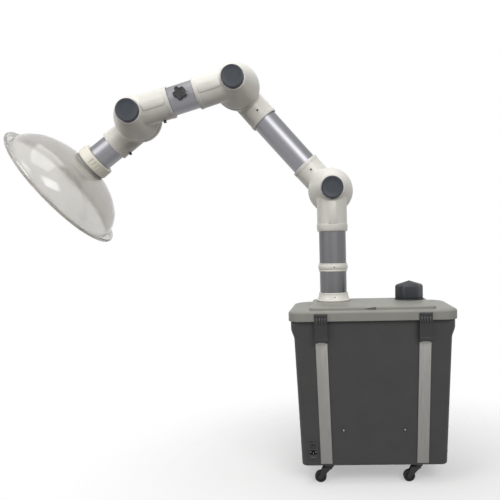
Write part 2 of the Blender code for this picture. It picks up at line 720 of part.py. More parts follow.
def make_inlet(mat):
    """The power inlet with its socket and the recess for the rocker, on the tub's front face."""
    body = box(
        "power_inlet",
        (INLET_WIDTH, INLET_FLANGE, INLET_HEIGHT),
        (0, -INLET_FLANGE / 2 - FACE_GAP, 0),
        mat,
    )
    border = INLET_BORDER + ROUND_GAP
    core_depth = INLET_BODY_DEPTH + INLET_FLANGE / 2
    core_size = (INLET_WIDTH - 2 * border, core_depth, INLET_HEIGHT - 2 * border)
    core = box("core", core_size, (0, core_depth / 2 - INLET_FLANGE / 2 - FACE_GAP, 0))
    combine(body, core, "UNION")
    front_y = -INLET_FLANGE - FACE_GAP
    socket = box("socket", (SOCKET_WIDTH, 2 * SOCKET_DEPTH, SOCKET_HEIGHT), (0, front_y, -SOCKET_DROP))
    well_depth = 2 * (ROCKER_DEPTH + FACE_GAP)
    well_size = (ROCKER_WIDTH + 2 * FACE_GAP, well_depth, ROCKER_HEIGHT + 2 * ROCKER_CLEARANCE)
    well = box("well", well_size, (0, front_y, ROCKER_RISE))
    cut_all(body, [socket, well])
    body.data.transform(wall_place(INLET_X, INLET_Z, -1))
    return body


def make_rocker(mat):
    """The rocker switch about its pivot, which runs along X; its face is a shallow V."""
    half = ROCKER_HEIGHT / 2
    outline = [
        (-ROCKER_PROUD, half),
        (-ROCKER_DIP, 0.0),
        (-ROCKER_PROUD, -half),
        (ROCKER_DEPTH / 2, -half * 0.5),
        (ROCKER_DEPTH * 0.7, 0.0),
        (ROCKER_DEPTH / 2, half * 0.5),
    ]
    left = [(-ROCKER_WIDTH / 2, y, z) for y, z in outline]
    right = [(ROCKER_WIDTH / 2, y, z) for y, z in outline]
    return loft("rocker_switch", [left, right], mat)


def make_chassis(mat):
    """A bent sheet that stands on the tub's floor and carries the filters over the blower."""
    foot_z = TUB_FLOOR_Z + FACE_GAP
    half = inside_width(foot_z, DECK_SIDE_GAP) / 2
    half_depth = inside_depth(foot_z, DECK_FRONT_GAP) / 2
    outline = [
        (-half, foot_z),
        (-half + DECK_SHEET, foot_z),
        (-half + DECK_SHEET, DECK_Z - DECK_SHEET),
        (half - DECK_SHEET, DECK_Z - DECK_SHEET),
        (half - DECK_SHEET, foot_z),
        (half, foot_z),
        (half, DECK_Z),
        (-half, DECK_Z),
    ]
    near = [(x, -half_depth, z) for x, z in outline]
    far = [(x, half_depth, z) for x, z in outline]
    chassis = loft("blower_chassis", [near, far], mat)
    spot = (BLOWER_X, BLOWER_Y, 0.0)
    low_z = DECK_Z - DECK_SHEET - CUT_MARGIN
    combine(chassis, rod("eye", "+Z", EYE_RADIUS, low_z, DECK_Z + CUT_MARGIN, None, ROUND_SIDES, spot))
    return chassis


def tongue_x():
    """Where the scroll's outlet begins, from the blower's axis."""
    return SCROLL_SMALL_RADIUS * math.cos(math.radians(SCROLL_START))


def outlet_x():
    """Middle of the blower's outlet across the cabinet."""
    return BLOWER_X - (tongue_x() + SCROLL_LARGE_RADIUS) / 2


def outlet_z():
    """Middle height of the blower's outlet."""
    return (HOUSING_Z + HOUSING_TOP_Z) / 2


def scroll_outline(inset, outlet_y):
    """Outline of the blower scroll, drawn in by an inset, with its outlet towards +Y."""
    turn = 360.0 - SCROLL_START
    points = []
    for step in range(SCROLL_STEPS + 1):
        share = step / SCROLL_STEPS
        angle = math.radians(SCROLL_START + turn * share)
        radius = SCROLL_SMALL_RADIUS + (SCROLL_LARGE_RADIUS - SCROLL_SMALL_RADIUS) * share - inset
        points.append((radius * math.cos(angle), radius * math.sin(angle)))
    left_x = tongue_x() + inset
    points[0] = (left_x, tongue_x() - 2.5 * inset)
    points += [(SCROLL_LARGE_RADIUS - inset, outlet_y), (left_x, outlet_y)]
    return [(-x, y) for x, y in points]


def make_housing(mat):
    """The blower scroll with its inlet eye on top and its outlet to the rear."""
    outlet_y = tub_depth(HOUSING_Z) / 2 - TUB_WALL - FACE_GAP - BLOWER_Y
    housing = prism("blower_housing", scroll_outline(0.0, outlet_y), HOUSING_Z, HOUSING_TOP_Z, mat)
    inside = scroll_outline(HOUSING_WALL, outlet_y + CUT_MARGIN)
    tools = [
        prism("inside", inside, HOUSING_Z + HOUSING_WALL, HOUSING_TOP_Z - HOUSING_WALL),
        rod("eye", "+Z", EYE_RADIUS, HOUSING_TOP_Z - 2 * HOUSING_WALL, HOUSING_TOP_Z + CUT_MARGIN),
        rod("hole", "+Z", SHAFT_RADIUS * 2, HOUSING_Z - CUT_MARGIN, HOUSING_Z + 2 * HOUSING_WALL),
    ]
    cut_all(housing, tools)
    return seat(housing, None, (BLOWER_X, BLOWER_Y, 0.0))


def make_motor(mat):
    """The motor on the tub's floor, with its shaft."""
    low_z = TUB_FLOOR_Z + FACE_GAP
    high_z = HOUSING_Z - FACE_GAP
    profile = [
        (0.0, low_z),
        (MOTOR_RADIUS, low_z),
        (MOTOR_RADIUS, high_z - HOUSING_WALL),
        (MOTOR_RADIUS - HOUSING_WALL, high_z),
        (SHAFT_RADIUS, high_z),
        (SHAFT_RADIUS, SHAFT_TOP_Z),
        (0.0, SHAFT_TOP_Z),
    ]
    return seat(turned("motor", profile, mat), None, (BLOWER_X, BLOWER_Y, 0.0))


def make_impeller(mat):
    """The blower wheel on the motor's shaft; the origin is on its axis."""
    bore = SHAFT_RADIUS + ROUND_GAP
    profile = [
        (bore, 0.0),
        (IMPELLER_RADIUS, 0.0),
        (IMPELLER_RADIUS, IMPELLER_PLATE),
        (IMPELLER_HUB_RADIUS, IMPELLER_PLATE),
        (IMPELLER_HUB_RADIUS, IMPELLER_HEIGHT),
        (bore, IMPELLER_HEIGHT),
    ]
    impeller = turned("impeller", profile, mat)
    height = IMPELLER_HEIGHT - IMPELLER_PLATE / 2
    middle_x = IMPELLER_RADIUS - BLADE_LENGTH / 2 - FACE_GAP
    for index in range(BLADE_COUNT):
        blade = box(
            "blade",
            (BLADE_LENGTH, BLADE_THICKNESS, height),
            (middle_x, 0, IMPELLER_PLATE / 2 + height / 2),
        )
        blade.data.transform(Matrix.Rotation(math.radians(360.0 * index / BLADE_COUNT + BLADE_TURN), 4, "Z"))
        combine(impeller, blade, "UNION")
    return seat(impeller, None, (BLOWER_X, BLOWER_Y, IMPELLER_Z))


def make_filter(name, low_z, height, mat):
    """A filter cassette with eased edges."""
    width = inside_width(DECK_Z, FILTER_SIDE_GAP)
    depth = inside_depth(DECK_Z, FILTER_FRONT_GAP)
    size = (width, depth, FILTER_CORNER_RADIUS)
    eased = tuple(value - FILTER_EDGE * weight for value, weight in zip(size, (2, 2, 1)))
    loops = [
        rounded_rectangle(*eased, low_z),
        rounded_rectangle(*size, low_z + FILTER_EDGE),
        rounded_rectangle(*size, low_z + height - FILTER_EDGE),
        rounded_rectangle(*eased, low_z + height),
    ]
    return loft(name, loops, mat)


def make_grille(mat):
    """The exhaust grille on the tub's rear face."""
    middle_y = -GRILLE_THICKNESS / 2 - FACE_GAP
    grille = box("exhaust_grille", (GRILLE_WIDTH, GRILLE_THICKNESS, GRILLE_HEIGHT), (0, middle_y, 0), mat)
    open_height = GRILLE_HEIGHT - 2 * GRILLE_BORDER
    pitch = (open_height - GRILLE_SLOT_HEIGHT) / (GRILLE_SLOTS - 1)
    slot_size = (GRILLE_WIDTH - 2 * GRILLE_BORDER, 3 * GRILLE_THICKNESS, GRILLE_SLOT_HEIGHT)
    for index in range(GRILLE_SLOTS):
        z = (index - (GRILLE_SLOTS - 1) / 2) * pitch
        combine(grille, box("slot", slot_size, (0, middle_y, z)))
    grille.data.transform(wall_place(outlet_x(), outlet_z(), 1))
    return grille


def make_cap(mat):
    """The plug in the spare port; the origin is at the lid's top."""
    spigot = PORT_RADIUS - ROUND_GAP
    inner = spigot - CAP_WALL
    shoulder_z = CAP_FLANGE_HEIGHT + CAP_BODY_HEIGHT
    profile = [
        (0.0, shoulder_z + CAP_PEAK - CAP_WALL),
        (CAP_RADIUS - CAP_CHAMFER - CAP_WALL, shoulder_z),
        (inner, shoulder_z - CAP_CHAMFER - CAP_WALL),
        (inner, -CAP_SPIGOT),
        (spigot, -CAP_SPIGOT),
        (spigot, FACE_GAP),
        (CAP_FLANGE_RADIUS, FACE_GAP),
        (CAP_FLANGE_RADIUS, CAP_FLANGE_HEIGHT),
        (CAP_RADIUS, CAP_FLANGE_HEIGHT),
        (CAP_RADIUS, shoulder_z - CAP_CHAMFER),
        (CAP_RADIUS - CAP_CHAMFER, shoulder_z + CAP_CHAMFER / 2),
        (0.0, shoulder_z + CAP_PEAK),
    ]
    return seat(turned("port_cap", profile, mat), None, (SPARE_X, SPARE_Y, LID_TOP_Z))


def make_tube(name, low, high, mat, axis="+Z"):
    """A plain tube between two places along an axis."""
    inner = TUBE_RADIUS - TUBE_WALL
    tube = turned(name, [(inner, low), (TUBE_RADIUS, low), (TUBE_RADIUS, high), (inner, high)], mat)
    point_along(tube, axis)
    return tube


def make_flange(mat):
    """The flared flange that holds the column on the lid; the origin is at the lid's top."""
    bore = TUBE_RADIUS + ROUND_GAP
    low = FACE_GAP
    high = FACE_GAP + FLANGE_HEIGHT
    waist = FLANGE_NECK_RADIUS + (FLANGE_RADIUS - FLANGE_NECK_RADIUS) * 0.35
    profile = [
        (bore, low),
        (FLANGE_RADIUS, low),
        (FLANGE_RADIUS, low + FLANGE_FOOT * 0.5),
        (FLANGE_RADIUS - FLANGE_CHAMFER, low + FLANGE_FOOT),
        (waist, low + FLANGE_HEIGHT * 0.55),
        (FLANGE_NECK_RADIUS, high),
        (bore, high),
    ]
    return turned("base_flange", profile, mat)


def ring_z():
    """Height of the swivel ring's middle above the lid."""
    return FACE_GAP + FLANGE_HEIGHT + LOWER_TUBE_VISIBLE + RING_HEIGHT / 2


def make_ring(mat):
    """The swivel ring with the inner lip that the upper tube stands on."""
    bore = TUBE_RADIUS + ROUND_GAP
    lip = TUBE_RADIUS - RING_LIP_REACH
    half = RING_HEIGHT / 2
    middle = ring_z()
    profile = [
        (bore, middle - half),
        (RING_RADIUS - RING_CHAMFER, middle - half),
        (RING_RADIUS, middle - half + RING_CHAMFER_HEIGHT),
        (RING_RADIUS, middle + half - RING_CHAMFER_HEIGHT),
        (RING_RADIUS - RING_CHAMFER, middle + half),
        (bore, middle + half),
        (bore, middle + RING_LIP / 2),
        (lip, middle + RING_LIP / 2),
        (lip, middle - RING_LIP / 2),
        (bore, middle - RING_LIP / 2),
    ]
    return turned("swivel_ring", profile, mat)


def dome_profile(hole, seam, seat_radius, rim, depth, low):
    """Half profile of an elbow's dome, from its crown to its seam, round a hole along its axis."""
    points = [(hole, depth)]
    for step in range(DOME_STEPS + 1):
        share = step / DOME_STEPS
        swell = DOME_BULGE * math.sin(math.pi * share)
        radius = seat_radius + (seam - seat_radius) * (share + swell)
        points.append((radius, rim + (depth - rim) * (1 - share + swell)))
    return points + [(seam, low), (hole, low)]


def make_elbow(name, face, mat):
    """Half an elbow: hinge along Y, sleeve along +X, domed to the front (-1) or the back (+1)."""
    axis = "-Y" if face < 0 else "+Y"
    hole = BOLT_RADIUS + ROUND_GAP
    outer = dome_profile(hole, SEAM_RADIUS, ELBOW_SEAT_RADIUS, ELBOW_RIM, ELBOW_DEPTH, SEAM_FACE)
    inner_seam = SEAM_RADIUS - ELBOW_WALL
    inner_seat = ELBOW_SEAT_RADIUS - ELBOW_WALL
    inner = dome_profile(0.0, inner_seam, inner_seat, ELBOW_RIM, ELBOW_DEPTH - ELBOW_WALL, -CUT_MARGIN)
    elbow = turned(name, outer, mat)
    point_along(elbow, axis)
    spot = (0.0, face * TUBE_OFFSET, 0.0)
    start = ELBOW_SEAT_RADIUS / 2
    combine(elbow, rod("sleeve", "+X", SLEEVE_RADIUS, start, SLEEVE_LENGTH, None, ROUND_SIDES, spot), "UNION")
    cavity = turned("cavity", inner)
    point_along(cavity, axis)
    bore_end = SLEEVE_LENGTH + CUT_MARGIN
    bore = rod("bore", "+X", TUBE_RADIUS + ROUND_GAP, start, bore_end, None, ROUND_SIDES, spot)
    cut_all(elbow, [cavity, bore])
    return elbow


def make_joint_seal(name, mat):
    """The ring between an elbow's two halves."""
    outer = SEAM_RADIUS - ROUND_GAP
    inner = outer - JOINT_SEAL_WIDTH
    half = JOINT_SEAL_THICKNESS / 2
    ring = turned(name, [(inner, -half), (outer, -half), (outer, half), (inner, half)], mat)
    point_along(ring, "+Y")
    return ring


def make_bolt(name, mat):
    """The pivot bolt: its head behind the back half, its shank through both halves into the knob."""
    head = ELBOW_DEPTH + FACE_GAP
    tip = -(ELBOW_DEPTH + FACE_GAP + BOLT_IN_KNOB)
    profile = [
        (0.0, tip),
        (BOLT_RADIUS, tip),
        (BOLT_RADIUS, head),
        (BOLT_HEAD_RADIUS, head),
        (BOLT_HEAD_RADIUS, head + BOLT_HEAD_HEIGHT),
        (0.0, head + BOLT_HEAD_HEIGHT),
    ]
    bolt = turned(name, profile, mat, SMALL_SIDES)
    point_along(bolt, "+Y")
    return bolt


def make_knob(name, mat):
    """A friction knob on the front half's seat, with a blind hole for the bolt."""
    low = ELBOW_DEPTH + FACE_GAP
    high = low + KNOB_HEIGHT
    bore = BOLT_RADIUS + ROUND_GAP
    hole_end = low + BOLT_IN_KNOB + FACE_GAP
    profile = [
        (0.0, hole_end),
        (bore, hole_end),
        (bore, low),
        (KNOB_RADIUS, low),
        (KNOB_RADIUS, high - KNOB_CHAMFER),
        (KNOB_RADIUS - KNOB_CHAMFER, high),
        (0.0, high),
    ]
    knob = turned(name, profile, mat)
    point_along(knob, "-Y")
    return knob


def make_damper_blade(mat):
    """The damper disc on its shaft, which runs along Y through the tube's wall."""
    blade = rod("damper_blade", "+Z", BLADE_RADIUS, -BLADE_SHEET / 2, BLADE_SHEET / 2, mat)
    front = -(TUBE_RADIUS + ROUND_GAP + SHAFT_IN_WING)
    back = TUBE_RADIUS + ROUND_GAP
    combine(blade, rod("shaft", "+Y", DAMPER_SHAFT_RADIUS, front, back, None, SMALL_SIDES), "UNION")
    return blade


def make_damper_knob(mat):
    """The winged damper knob in front of the tube, its wings in line with the disc."""
    low = TUBE_RADIUS + ROUND_GAP
    outline = []
    for step in range(ROUND_SIDES):
        angle = 2 * math.pi * step / ROUND_SIDES
        radius = WING_CORE + WING_REACH * math.cos(angle) ** 2
        outline.append((radius * math.cos(angle), radius * math.sin(angle)))
    knob = prism("damper_knob", outline, low, low + WING_HEIGHT, mat)
    hole_end = low + SHAFT_IN_WING + FACE_GAP
    hole = rod("hole", "+Z", DAMPER_SHAFT_RADIUS + ROUND_GAP, low - CUT_MARGIN, hole_end, None, SMALL_SIDES)
    combine(knob, hole)
    point_along(knob, "-Y")
    return knob


def make_damper_tube(mat):
    """The tube between elbows 2 and 3, drilled for the damper's shaft."""
    low = SLEEVE_LENGTH - TUBE_INSERT
    tube = make_tube("damper_tube", low, DAMPER_LENGTH - low, mat, "+X")
    reach = TUBE_RADIUS + CUT_MARGIN
    spot = (DAMPER_LENGTH / 2, 0.0, 0.0)
    combine(tube, rod("hole", "+Y", DAMPER_SHAFT_RADIUS + ROUND_GAP, -reach, reach, None, SMALL_SIDES, spot))
    return tube


def make_collar(mat):
    """The grip collar that clamps the hood's neck to the hood tube."""
    bore = TUBE_RADIUS + ROUND_GAP
    step = NECK_START - FACE_GAP
    profile = [
        (bore, COLLAR_START),
        (COLLAR_RADIUS - COLLAR_CHAMFER, COLLAR_START),
        (COLLAR_RADIUS, COLLAR_START + COLLAR_CHAMFER),
        (COLLAR_RADIUS, COLLAR_END - COLLAR_CHAMFER),
        (COLLAR_RADIUS - COLLAR_CHAMFER, COLLAR_END),
        (COLLAR_POCKET, COLLAR_END),
        (COLLAR_POCKET, step),
        (bore, step),
    ]
    collar = turned("hood_collar", profile, mat)
    point_along(collar, "+X")
    return collar


def make_hood(mat):
    """The clear dome with its neck, flat brim and thick edge."""
    bore = TUBE_RADIUS + ROUND_GAP
    neck = bore + NECK_WALL
    brim_top = HOOD_LENGTH - HOOD_WALL
    profile = [(bore, NECK_START), (neck, NECK_START)]
    start = math.asin(neck / DOME_RADIUS)
    for step in range(HOOD_STEPS + 1):
        angle = start + (math.pi / 2 - start) * step / HOOD_STEPS
        height = DOME_HEIGHT - HOOD_WALL
        profile.append((DOME_RADIUS * math.sin(angle), brim_top - height * math.cos(angle)))
    profile += [
        (BRIM_RADIUS - BRIM_EDGE, brim_top),
        (BRIM_RADIUS - BRIM_EDGE, HOOD_LENGTH - BRIM_LIP),
        (BRIM_RADIUS, HOOD_LENGTH - BRIM_LIP),
        (BRIM_RADIUS, HOOD_LENGTH),
    ]
    inner_radius = DOME_RADIUS - HOOD_WALL
    inner_height = DOME_HEIGHT - HOOD_WALL
    start = math.asin(bore / inner_radius)
    for step in range(HOOD_STEPS, -1, -1):
        angle = start + (math.pi / 2 - start) * step / HOOD_STEPS
        profile.append((inner_radius * math.sin(angle), HOOD_LENGTH - inner_height * math.cos(angle)))
    hood = turned("dome_hood", profile, mat, HOOD_SIDES)
    point_along(hood, "+X")
    return hood


def build_cabinet(mats):
    """Everything that stands on the floor, with the latches, casters and inner works."""
    make_tub(mats["charcoal"])
    make_lid(mats["lid_grey"])
    make_seal(mats["rubber"])
    make_strap("strap_left", -1, mats["aluminium"])
    make_strap("strap_right", 1, mats["aluminium"])

    latch = make_latch("latch_front_left", mats["latch_grey"])
    seat(latch, None, (-STRAP_TOP_X, -pin_y(), PIN_Z))
    seat(copy_of(latch, "latch_front_right"), None, (STRAP_TOP_X, -pin_y(), PIN_Z))
    seat(copy_of(latch, "latch_rear_left"), None, (-STRAP_TOP_X, pin_y(), PIN_Z), (0, 0, 180))
    seat(copy_of(latch, "latch_rear_right"), None, (STRAP_TOP_X, pin_y(), PIN_Z), (0, 0, 180))

    fork = make_fork("caster_fork_front_left", mats["black"])
    wheel = make_wheel("caster_wheel_front_left", mats["tyre"])
    for row, y in (("front", -STEM_Y), ("rear", STEM_Y)):
        for end, x in (("left", -STEM_X), ("right", STEM_X)):
            place = row + "_" + end
            first = place == "front_left"
            this_fork = fork if first else copy_of(fork, "caster_fork_" + place)
            this_wheel = wheel if first else copy_of(wheel, "caster_wheel_" + place)
            seat(this_fork, None, (x, y, 0.0))
            seat(this_wheel, this_fork, (-CASTER_TRAIL, 0.0, -AXLE_DROP))

    inlet = make_inlet(mats["black"])
    pivot = Matrix.Translation((0, -INLET_FLANGE - FACE_GAP, ROCKER_RISE))
    rocker = make_rocker(mats["black"])
    rocker.parent = inlet
    rocker.matrix_local = wall_place(INLET_X, INLET_Z, -1) @ pivot

    make_chassis(mats["steel"])
    carbon_z = DECK_Z + FACE_GAP
    main_z = carbon_z + CARBON_HEIGHT + FACE_GAP
    prefilter_z = main_z + MAIN_FILTER_HEIGHT + FACE_GAP
    make_filter("carbon_filter", carbon_z, CARBON_HEIGHT, mats["carbon"])
    make_filter("main_filter", main_z, MAIN_FILTER_HEIGHT, mats["media"])
    make_filter("prefilter", prefilter_z, PREFILTER_HEIGHT, mats["media"])
    make_housing(mats["charcoal"])
    make_motor(mats["steel"])
    make_impeller(mats["black"])
    make_grille(mats["black"])
    make_cap(mats["charcoal"])


def build_arm(mats):
    """The column, the three-jointed arm and the hood."""
    column = axis_point("column_axis", None, (PORT_X, PORT_Y, LID_TOP_Z))
    swivel = axis_point("arm_swivel", column, (0, 0, 0), (0, 0, ARM_SWIVEL))
    insert = SLEEVE_LENGTH - TUBE_INSERT
    seat(make_flange(mats["ivory"]), column)
    lip = RING_LIP / 2 + FACE_GAP
    seat(make_tube("lower_tube", -TUBE_BELOW_LID, ring_z() - lip, mats["aluminium"]), column)
    seat(make_ring(mats["ivory"]), column)
    seat(make_tube("upper_tube", ring_z() + lip, COLUMN_HEIGHT - insert, mats["aluminium"]), swivel)

    elbow_1 = axis_point("elbow_1_axis", swivel, (0, TUBE_OFFSET, COLUMN_HEIGHT), (0, 180 + MID_RISE, 0))
    elbow_2 = axis_point("elbow_2_axis", elbow_1, (MID_LENGTH, 0, 0), (0, -MID_RISE - DAMPER_DROP, 0))
    elbow_3 = axis_point("elbow_3_axis", elbow_2, (DAMPER_LENGTH, 0, 0), (0, DAMPER_DROP - HOOD_DROP, 0))

    front = make_elbow("elbow_1_front", -1, mats["ivory"])
    back = make_elbow("elbow_1_back", 1, mats["ivory"])
    seal = make_joint_seal("joint_seal_1", mats["rubber"])
    bolt = make_bolt("pivot_bolt_1", mats["steel"])
    knob = make_knob("knob_1", mats["knob_grey"])

    hinge = (0, TUBE_OFFSET, COLUMN_HEIGHT)
    seat(front, swivel, hinge, (0, 90, 0))
    seat(seal, swivel, hinge)
    seat(knob, swivel, hinge)
    seat(back, elbow_1)
    seat(bolt, elbow_1)
    mid = make_tube("mid_tube", insert, MID_LENGTH - insert, mats["aluminium"], "+X")
    seat(mid, elbow_1, (0, TUBE_OFFSET, 0))
    seat(copy_of(back, "elbow_2_back"), elbow_1, (MID_LENGTH, 0, 0), (0, 180, 0))
    seat(copy_of(bolt, "pivot_bolt_2"), elbow_1, (MID_LENGTH, 0, 0))

    seat(copy_of(front, "elbow_2_front"), elbow_2)
    seat(copy_of(seal, "joint_seal_2"), elbow_2)
    seat(copy_of(knob, "knob_2"), elbow_2)
    seat(make_damper_tube(mats["aluminium"]), elbow_2, (0, -TUBE_OFFSET, 0))
    damper = axis_point("damper_axis", elbow_2, (DAMPER_LENGTH / 2, -TUBE_OFFSET, 0))
    seat(make_damper_blade(mats["steel"]), damper)
    seat(make_damper_knob(mats["black"]), damper)
    seat(copy_of(front, "elbow_3_front"), elbow_2, (DAMPER_LENGTH, 0, 0), (0, 180, 0))
    seat(copy_of(seal, "joint_seal_3"), elbow_2, (DAMPER_LENGTH, 0, 0))
    seat(copy_of(knob, "knob_3"), elbow_2, (DAMPER_LENGTH, 0, 0))

    seat(copy_of(back, "elbow_3_back"), elbow_3)
    seat(copy_of(bolt, "pivot_bolt_3"), elbow_3)
    hood_axis = axis_point("hood_axis", elbow_3, (0, TUBE_OFFSET, 0))
    seat(make_tube("hood_tube", insert, HOOD_TUBE_END, mats["aluminium"], "+X"), hood_axis)
    seat(make_collar(mats["ivory"]), hood_axis)
    seat(make_hood(mats["clear"]), hood_axis)


def main():
    """Builds every piece and shades the round ones smooth."""
    for obj in list(bpy.data.objects):
        bpy.data.objects.remove(obj, do_unlink=True)
    mats = {
        "charcoal": material("charcoal plastic", (0.070, 0.069, 0.069), 0.55),
        "lid_grey": material("grey plastic", (0.275, 0.275, 0.255), 0.5),
        "latch_grey": material("dark grey plastic", (0.095, 0.098, 0.105), 0.45),
        "rubber": material("rubber", (0.012, 0.012, 0.012), 0.8),
        "tyre": material("wheel rubber", (0.015, 0.015, 0.015), 0.7),
        "black": material("black plastic", (0.018, 0.018, 0.018), 0.45),
        "aluminium": material("satin aluminium", (0.60, 0.60, 0.61), 0.3, 1.0),
        "steel": material("brushed steel", (0.42, 0.42, 0.44), 0.35, 1.0),
        "carbon": material("carbon filter", (0.030, 0.030, 0.030), 0.9),
        "media": material("filter media", (0.75, 0.74, 0.70), 0.95),
        "ivory": material("ivory plastic", (0.76, 0.75, 0.70), 0.4),
        "knob_grey": material("blue-grey plastic", (0.062, 0.072, 0.091), 0.5),
        "clear": material("clear acrylic", (0.90, 0.92, 0.92), 0.1, 0.0, 0.3),
    }
    build_cabinet(mats)
    build_arm(mats)
    for mesh in {obj.data for obj in bpy.data.objects if obj.type == "MESH"}:
        mesh.shade_smooth()
        mesh.set_sharp_from_angle(angle=math.radians(SHARP_ANGLE))


main()
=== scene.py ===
"""Looks of the mobile fume extractor: its finished pieces, their materials, floor, light and camera.

Lengths are in metres, and sizes are width, depth and height unless a note says otherwise. Each piece is
modelled in a frame of its own and then written into the shared frame.
"""

import json
import math

import bmesh
import bpy
from mathutils import Matrix, Vector


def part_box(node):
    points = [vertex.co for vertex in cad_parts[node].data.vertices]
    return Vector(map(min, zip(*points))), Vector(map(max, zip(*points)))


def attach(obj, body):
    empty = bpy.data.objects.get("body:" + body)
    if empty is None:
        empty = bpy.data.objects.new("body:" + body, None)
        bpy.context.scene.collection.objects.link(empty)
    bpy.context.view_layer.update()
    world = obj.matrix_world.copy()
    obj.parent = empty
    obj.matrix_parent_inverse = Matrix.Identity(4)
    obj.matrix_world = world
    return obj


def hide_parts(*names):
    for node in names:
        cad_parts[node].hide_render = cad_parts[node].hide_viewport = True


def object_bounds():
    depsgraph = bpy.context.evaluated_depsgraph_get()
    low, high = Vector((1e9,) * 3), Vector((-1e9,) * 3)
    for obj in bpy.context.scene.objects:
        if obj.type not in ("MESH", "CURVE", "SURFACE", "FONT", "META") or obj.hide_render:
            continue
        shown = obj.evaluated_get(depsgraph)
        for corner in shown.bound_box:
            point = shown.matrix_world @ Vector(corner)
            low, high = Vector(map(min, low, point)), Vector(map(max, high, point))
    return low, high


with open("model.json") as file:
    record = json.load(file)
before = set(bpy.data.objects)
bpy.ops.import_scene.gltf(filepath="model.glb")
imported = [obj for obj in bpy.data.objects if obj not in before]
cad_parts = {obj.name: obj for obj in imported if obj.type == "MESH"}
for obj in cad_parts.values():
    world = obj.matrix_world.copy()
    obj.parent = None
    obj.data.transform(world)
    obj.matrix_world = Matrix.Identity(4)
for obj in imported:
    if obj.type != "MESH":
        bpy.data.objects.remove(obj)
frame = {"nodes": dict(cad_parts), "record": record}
cad_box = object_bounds()

MM = 0.001

# Facets and blends
ROUND = 96
SMALL_ROUND = 32
HOOD_ROUND = 128
MERGE = 0.00001
SMOOTH_ANGLE = math.radians(32)

# Tub
TUB_BOTTOM = (0.378, 0.208)
TUB_TOP = (0.407, 0.226)
TUB_BOTTOM_Z = 0.005
TUB_TOP_Z = 0.3935
TUB_CORNERS = (0.014, 0.042)  # front, rear
TUB_EDGE = 0.008
TUB_END_EDGE = 0.004
TUB_WALL = 0.005
TUB_FLOOR = 0.004
LIP_WIDTH = 0.4185
LIP_SHOULDER_Z = 0.387
LIP_LOW_Z = 0.369
LIP_EASE = 0.030
LIP_EDGE = (0.001, 0.001)  # inset, fall
SHOULDER_FALL = 0.0004
NECK_WIDTH = 0.414
PAD = (0.190, 0.150)
PAD_CORNER = 0.010
STEM_HOLE = (0.0045, 0.012)  # radius, depth
INLET_HOLE = (0.021, 0.020, 0.041)
GRILLE_HOLE = (0.080, 0.020, 0.060)
HOLE_IN = 0.005
SCREW_X = 0.079
SCREW_Z = 0.1011

# Lid
LID = (0.430, 0.250)
LID_CORNERS = (0.032, 0.048)  # front, rear
LID_FRONT_ROUND = 0.007
LID_END_ROUND = (0.010, 0.007)  # across, down
SKIRT_Z = 0.3873
SKIRT_WALL = 0.004
SKIRT_EDGE = (0.0008, 0.0010)  # inset, rise
CEILING_Z = 0.3971
RIM_Z = 0.4138
LID_TOP_Z = 0.4218
PANEL = (0.316, 0.220)
PANEL_FOOT = 0.003
PANEL_ROUND = 0.0035
PANEL_CORNER = 0.016
PORT = Vector((-0.101, 0.062, LID_TOP_Z))
SPARE_PORT = Vector((0.112, 0.0625, LID_TOP_Z))
PORT_RADIUS = 0.038
LATCH_SLOT = (0.0284, 0.0074, 0.0044)

# Straps and latches
STRAP = (0.030, 0.003)  # width, thickness
STRAP_GAP = 0.0003
STRAP_NECK = (0.0195, 0.010)  # width, height
STRAP_BOTTOM_X = 0.1243
STRAP_TOP_X = 0.1315
STRAP_TOP_Z = 0.3308
PIN_Y = 0.11818
PIN_Z = 0.3365
PIN_RADIUS = 0.0025
BARREL = (0.0040, 0.0255)  # radius, length
LATCH = (0.033, 0.004, 0.0725)
LATCH_BACK_Y = -0.00712
LATCH_DROP = 0.002
HOOK_Z = 0.0655
RIB = (0.0046, 0.0040, 0.0170)
RIB_PITCH = 0.0069
RIB_LEAN = -12  # degrees
LUG_X = 0.0147

# Casters
STEM = (0.117, 0.075)  # x, y from the middle
CASTER_TRAIL = 0.025
AXLE_DROP = 0.0325
WHEEL_RADIUS = 0.0155
WHEEL_HALF = 0.007

# Power inlet
INLET_X = -0.159
INLET_Z = 0.047
INLET = (0.026, 0.046)  # width, height
INLET_FACE = -0.0033
INLET_BACK = (0.0202, 0.0240, 0.0402)
SOCKET = (0.018, 0.012)
SOCKET_DROP = 0.003
PRONG = (0.0020, 0.0110, 0.0036)
ROCKER = (0.016, 0.0066, 0.009)
ROCKER_RISE = 0.0135

# Exhaust grille
GRILLE = (0.100, 0.080)  # width, height
GRILLE_SLOT = (0.080, 0.005)
SLOT_PITCH = 0.011

# Arm
TUBE_RADIUS = 0.0375
TUBE_WALL = 0.00175
SLEEVE_RADIUS = 0.0415
SLEEVE_LENGTH = 0.110
SLEEVE_START = 0.016
BORE_CLEAR = 0.0004
COLUMN_SKIRT = (SLEEVE_LENGTH - 0.0115, SLEEVE_LENGTH + 0.0085)
TUBE_START = 0.065
TUBE_OFFSET = 0.052
SEAM_RADIUS = 0.063
SEAM_FACE = 0.0013
ELBOW_DEPTH = 0.094
ELBOW_RIM = 0.018
ELBOW_WALL = 0.004
SEAT_RADIUS = 0.033
KNOB_RADIUS = 0.030
KNOB_HEIGHT = 0.011
HOOD_TUBE_END = 0.203
HOOD_MOUTH = 0.310

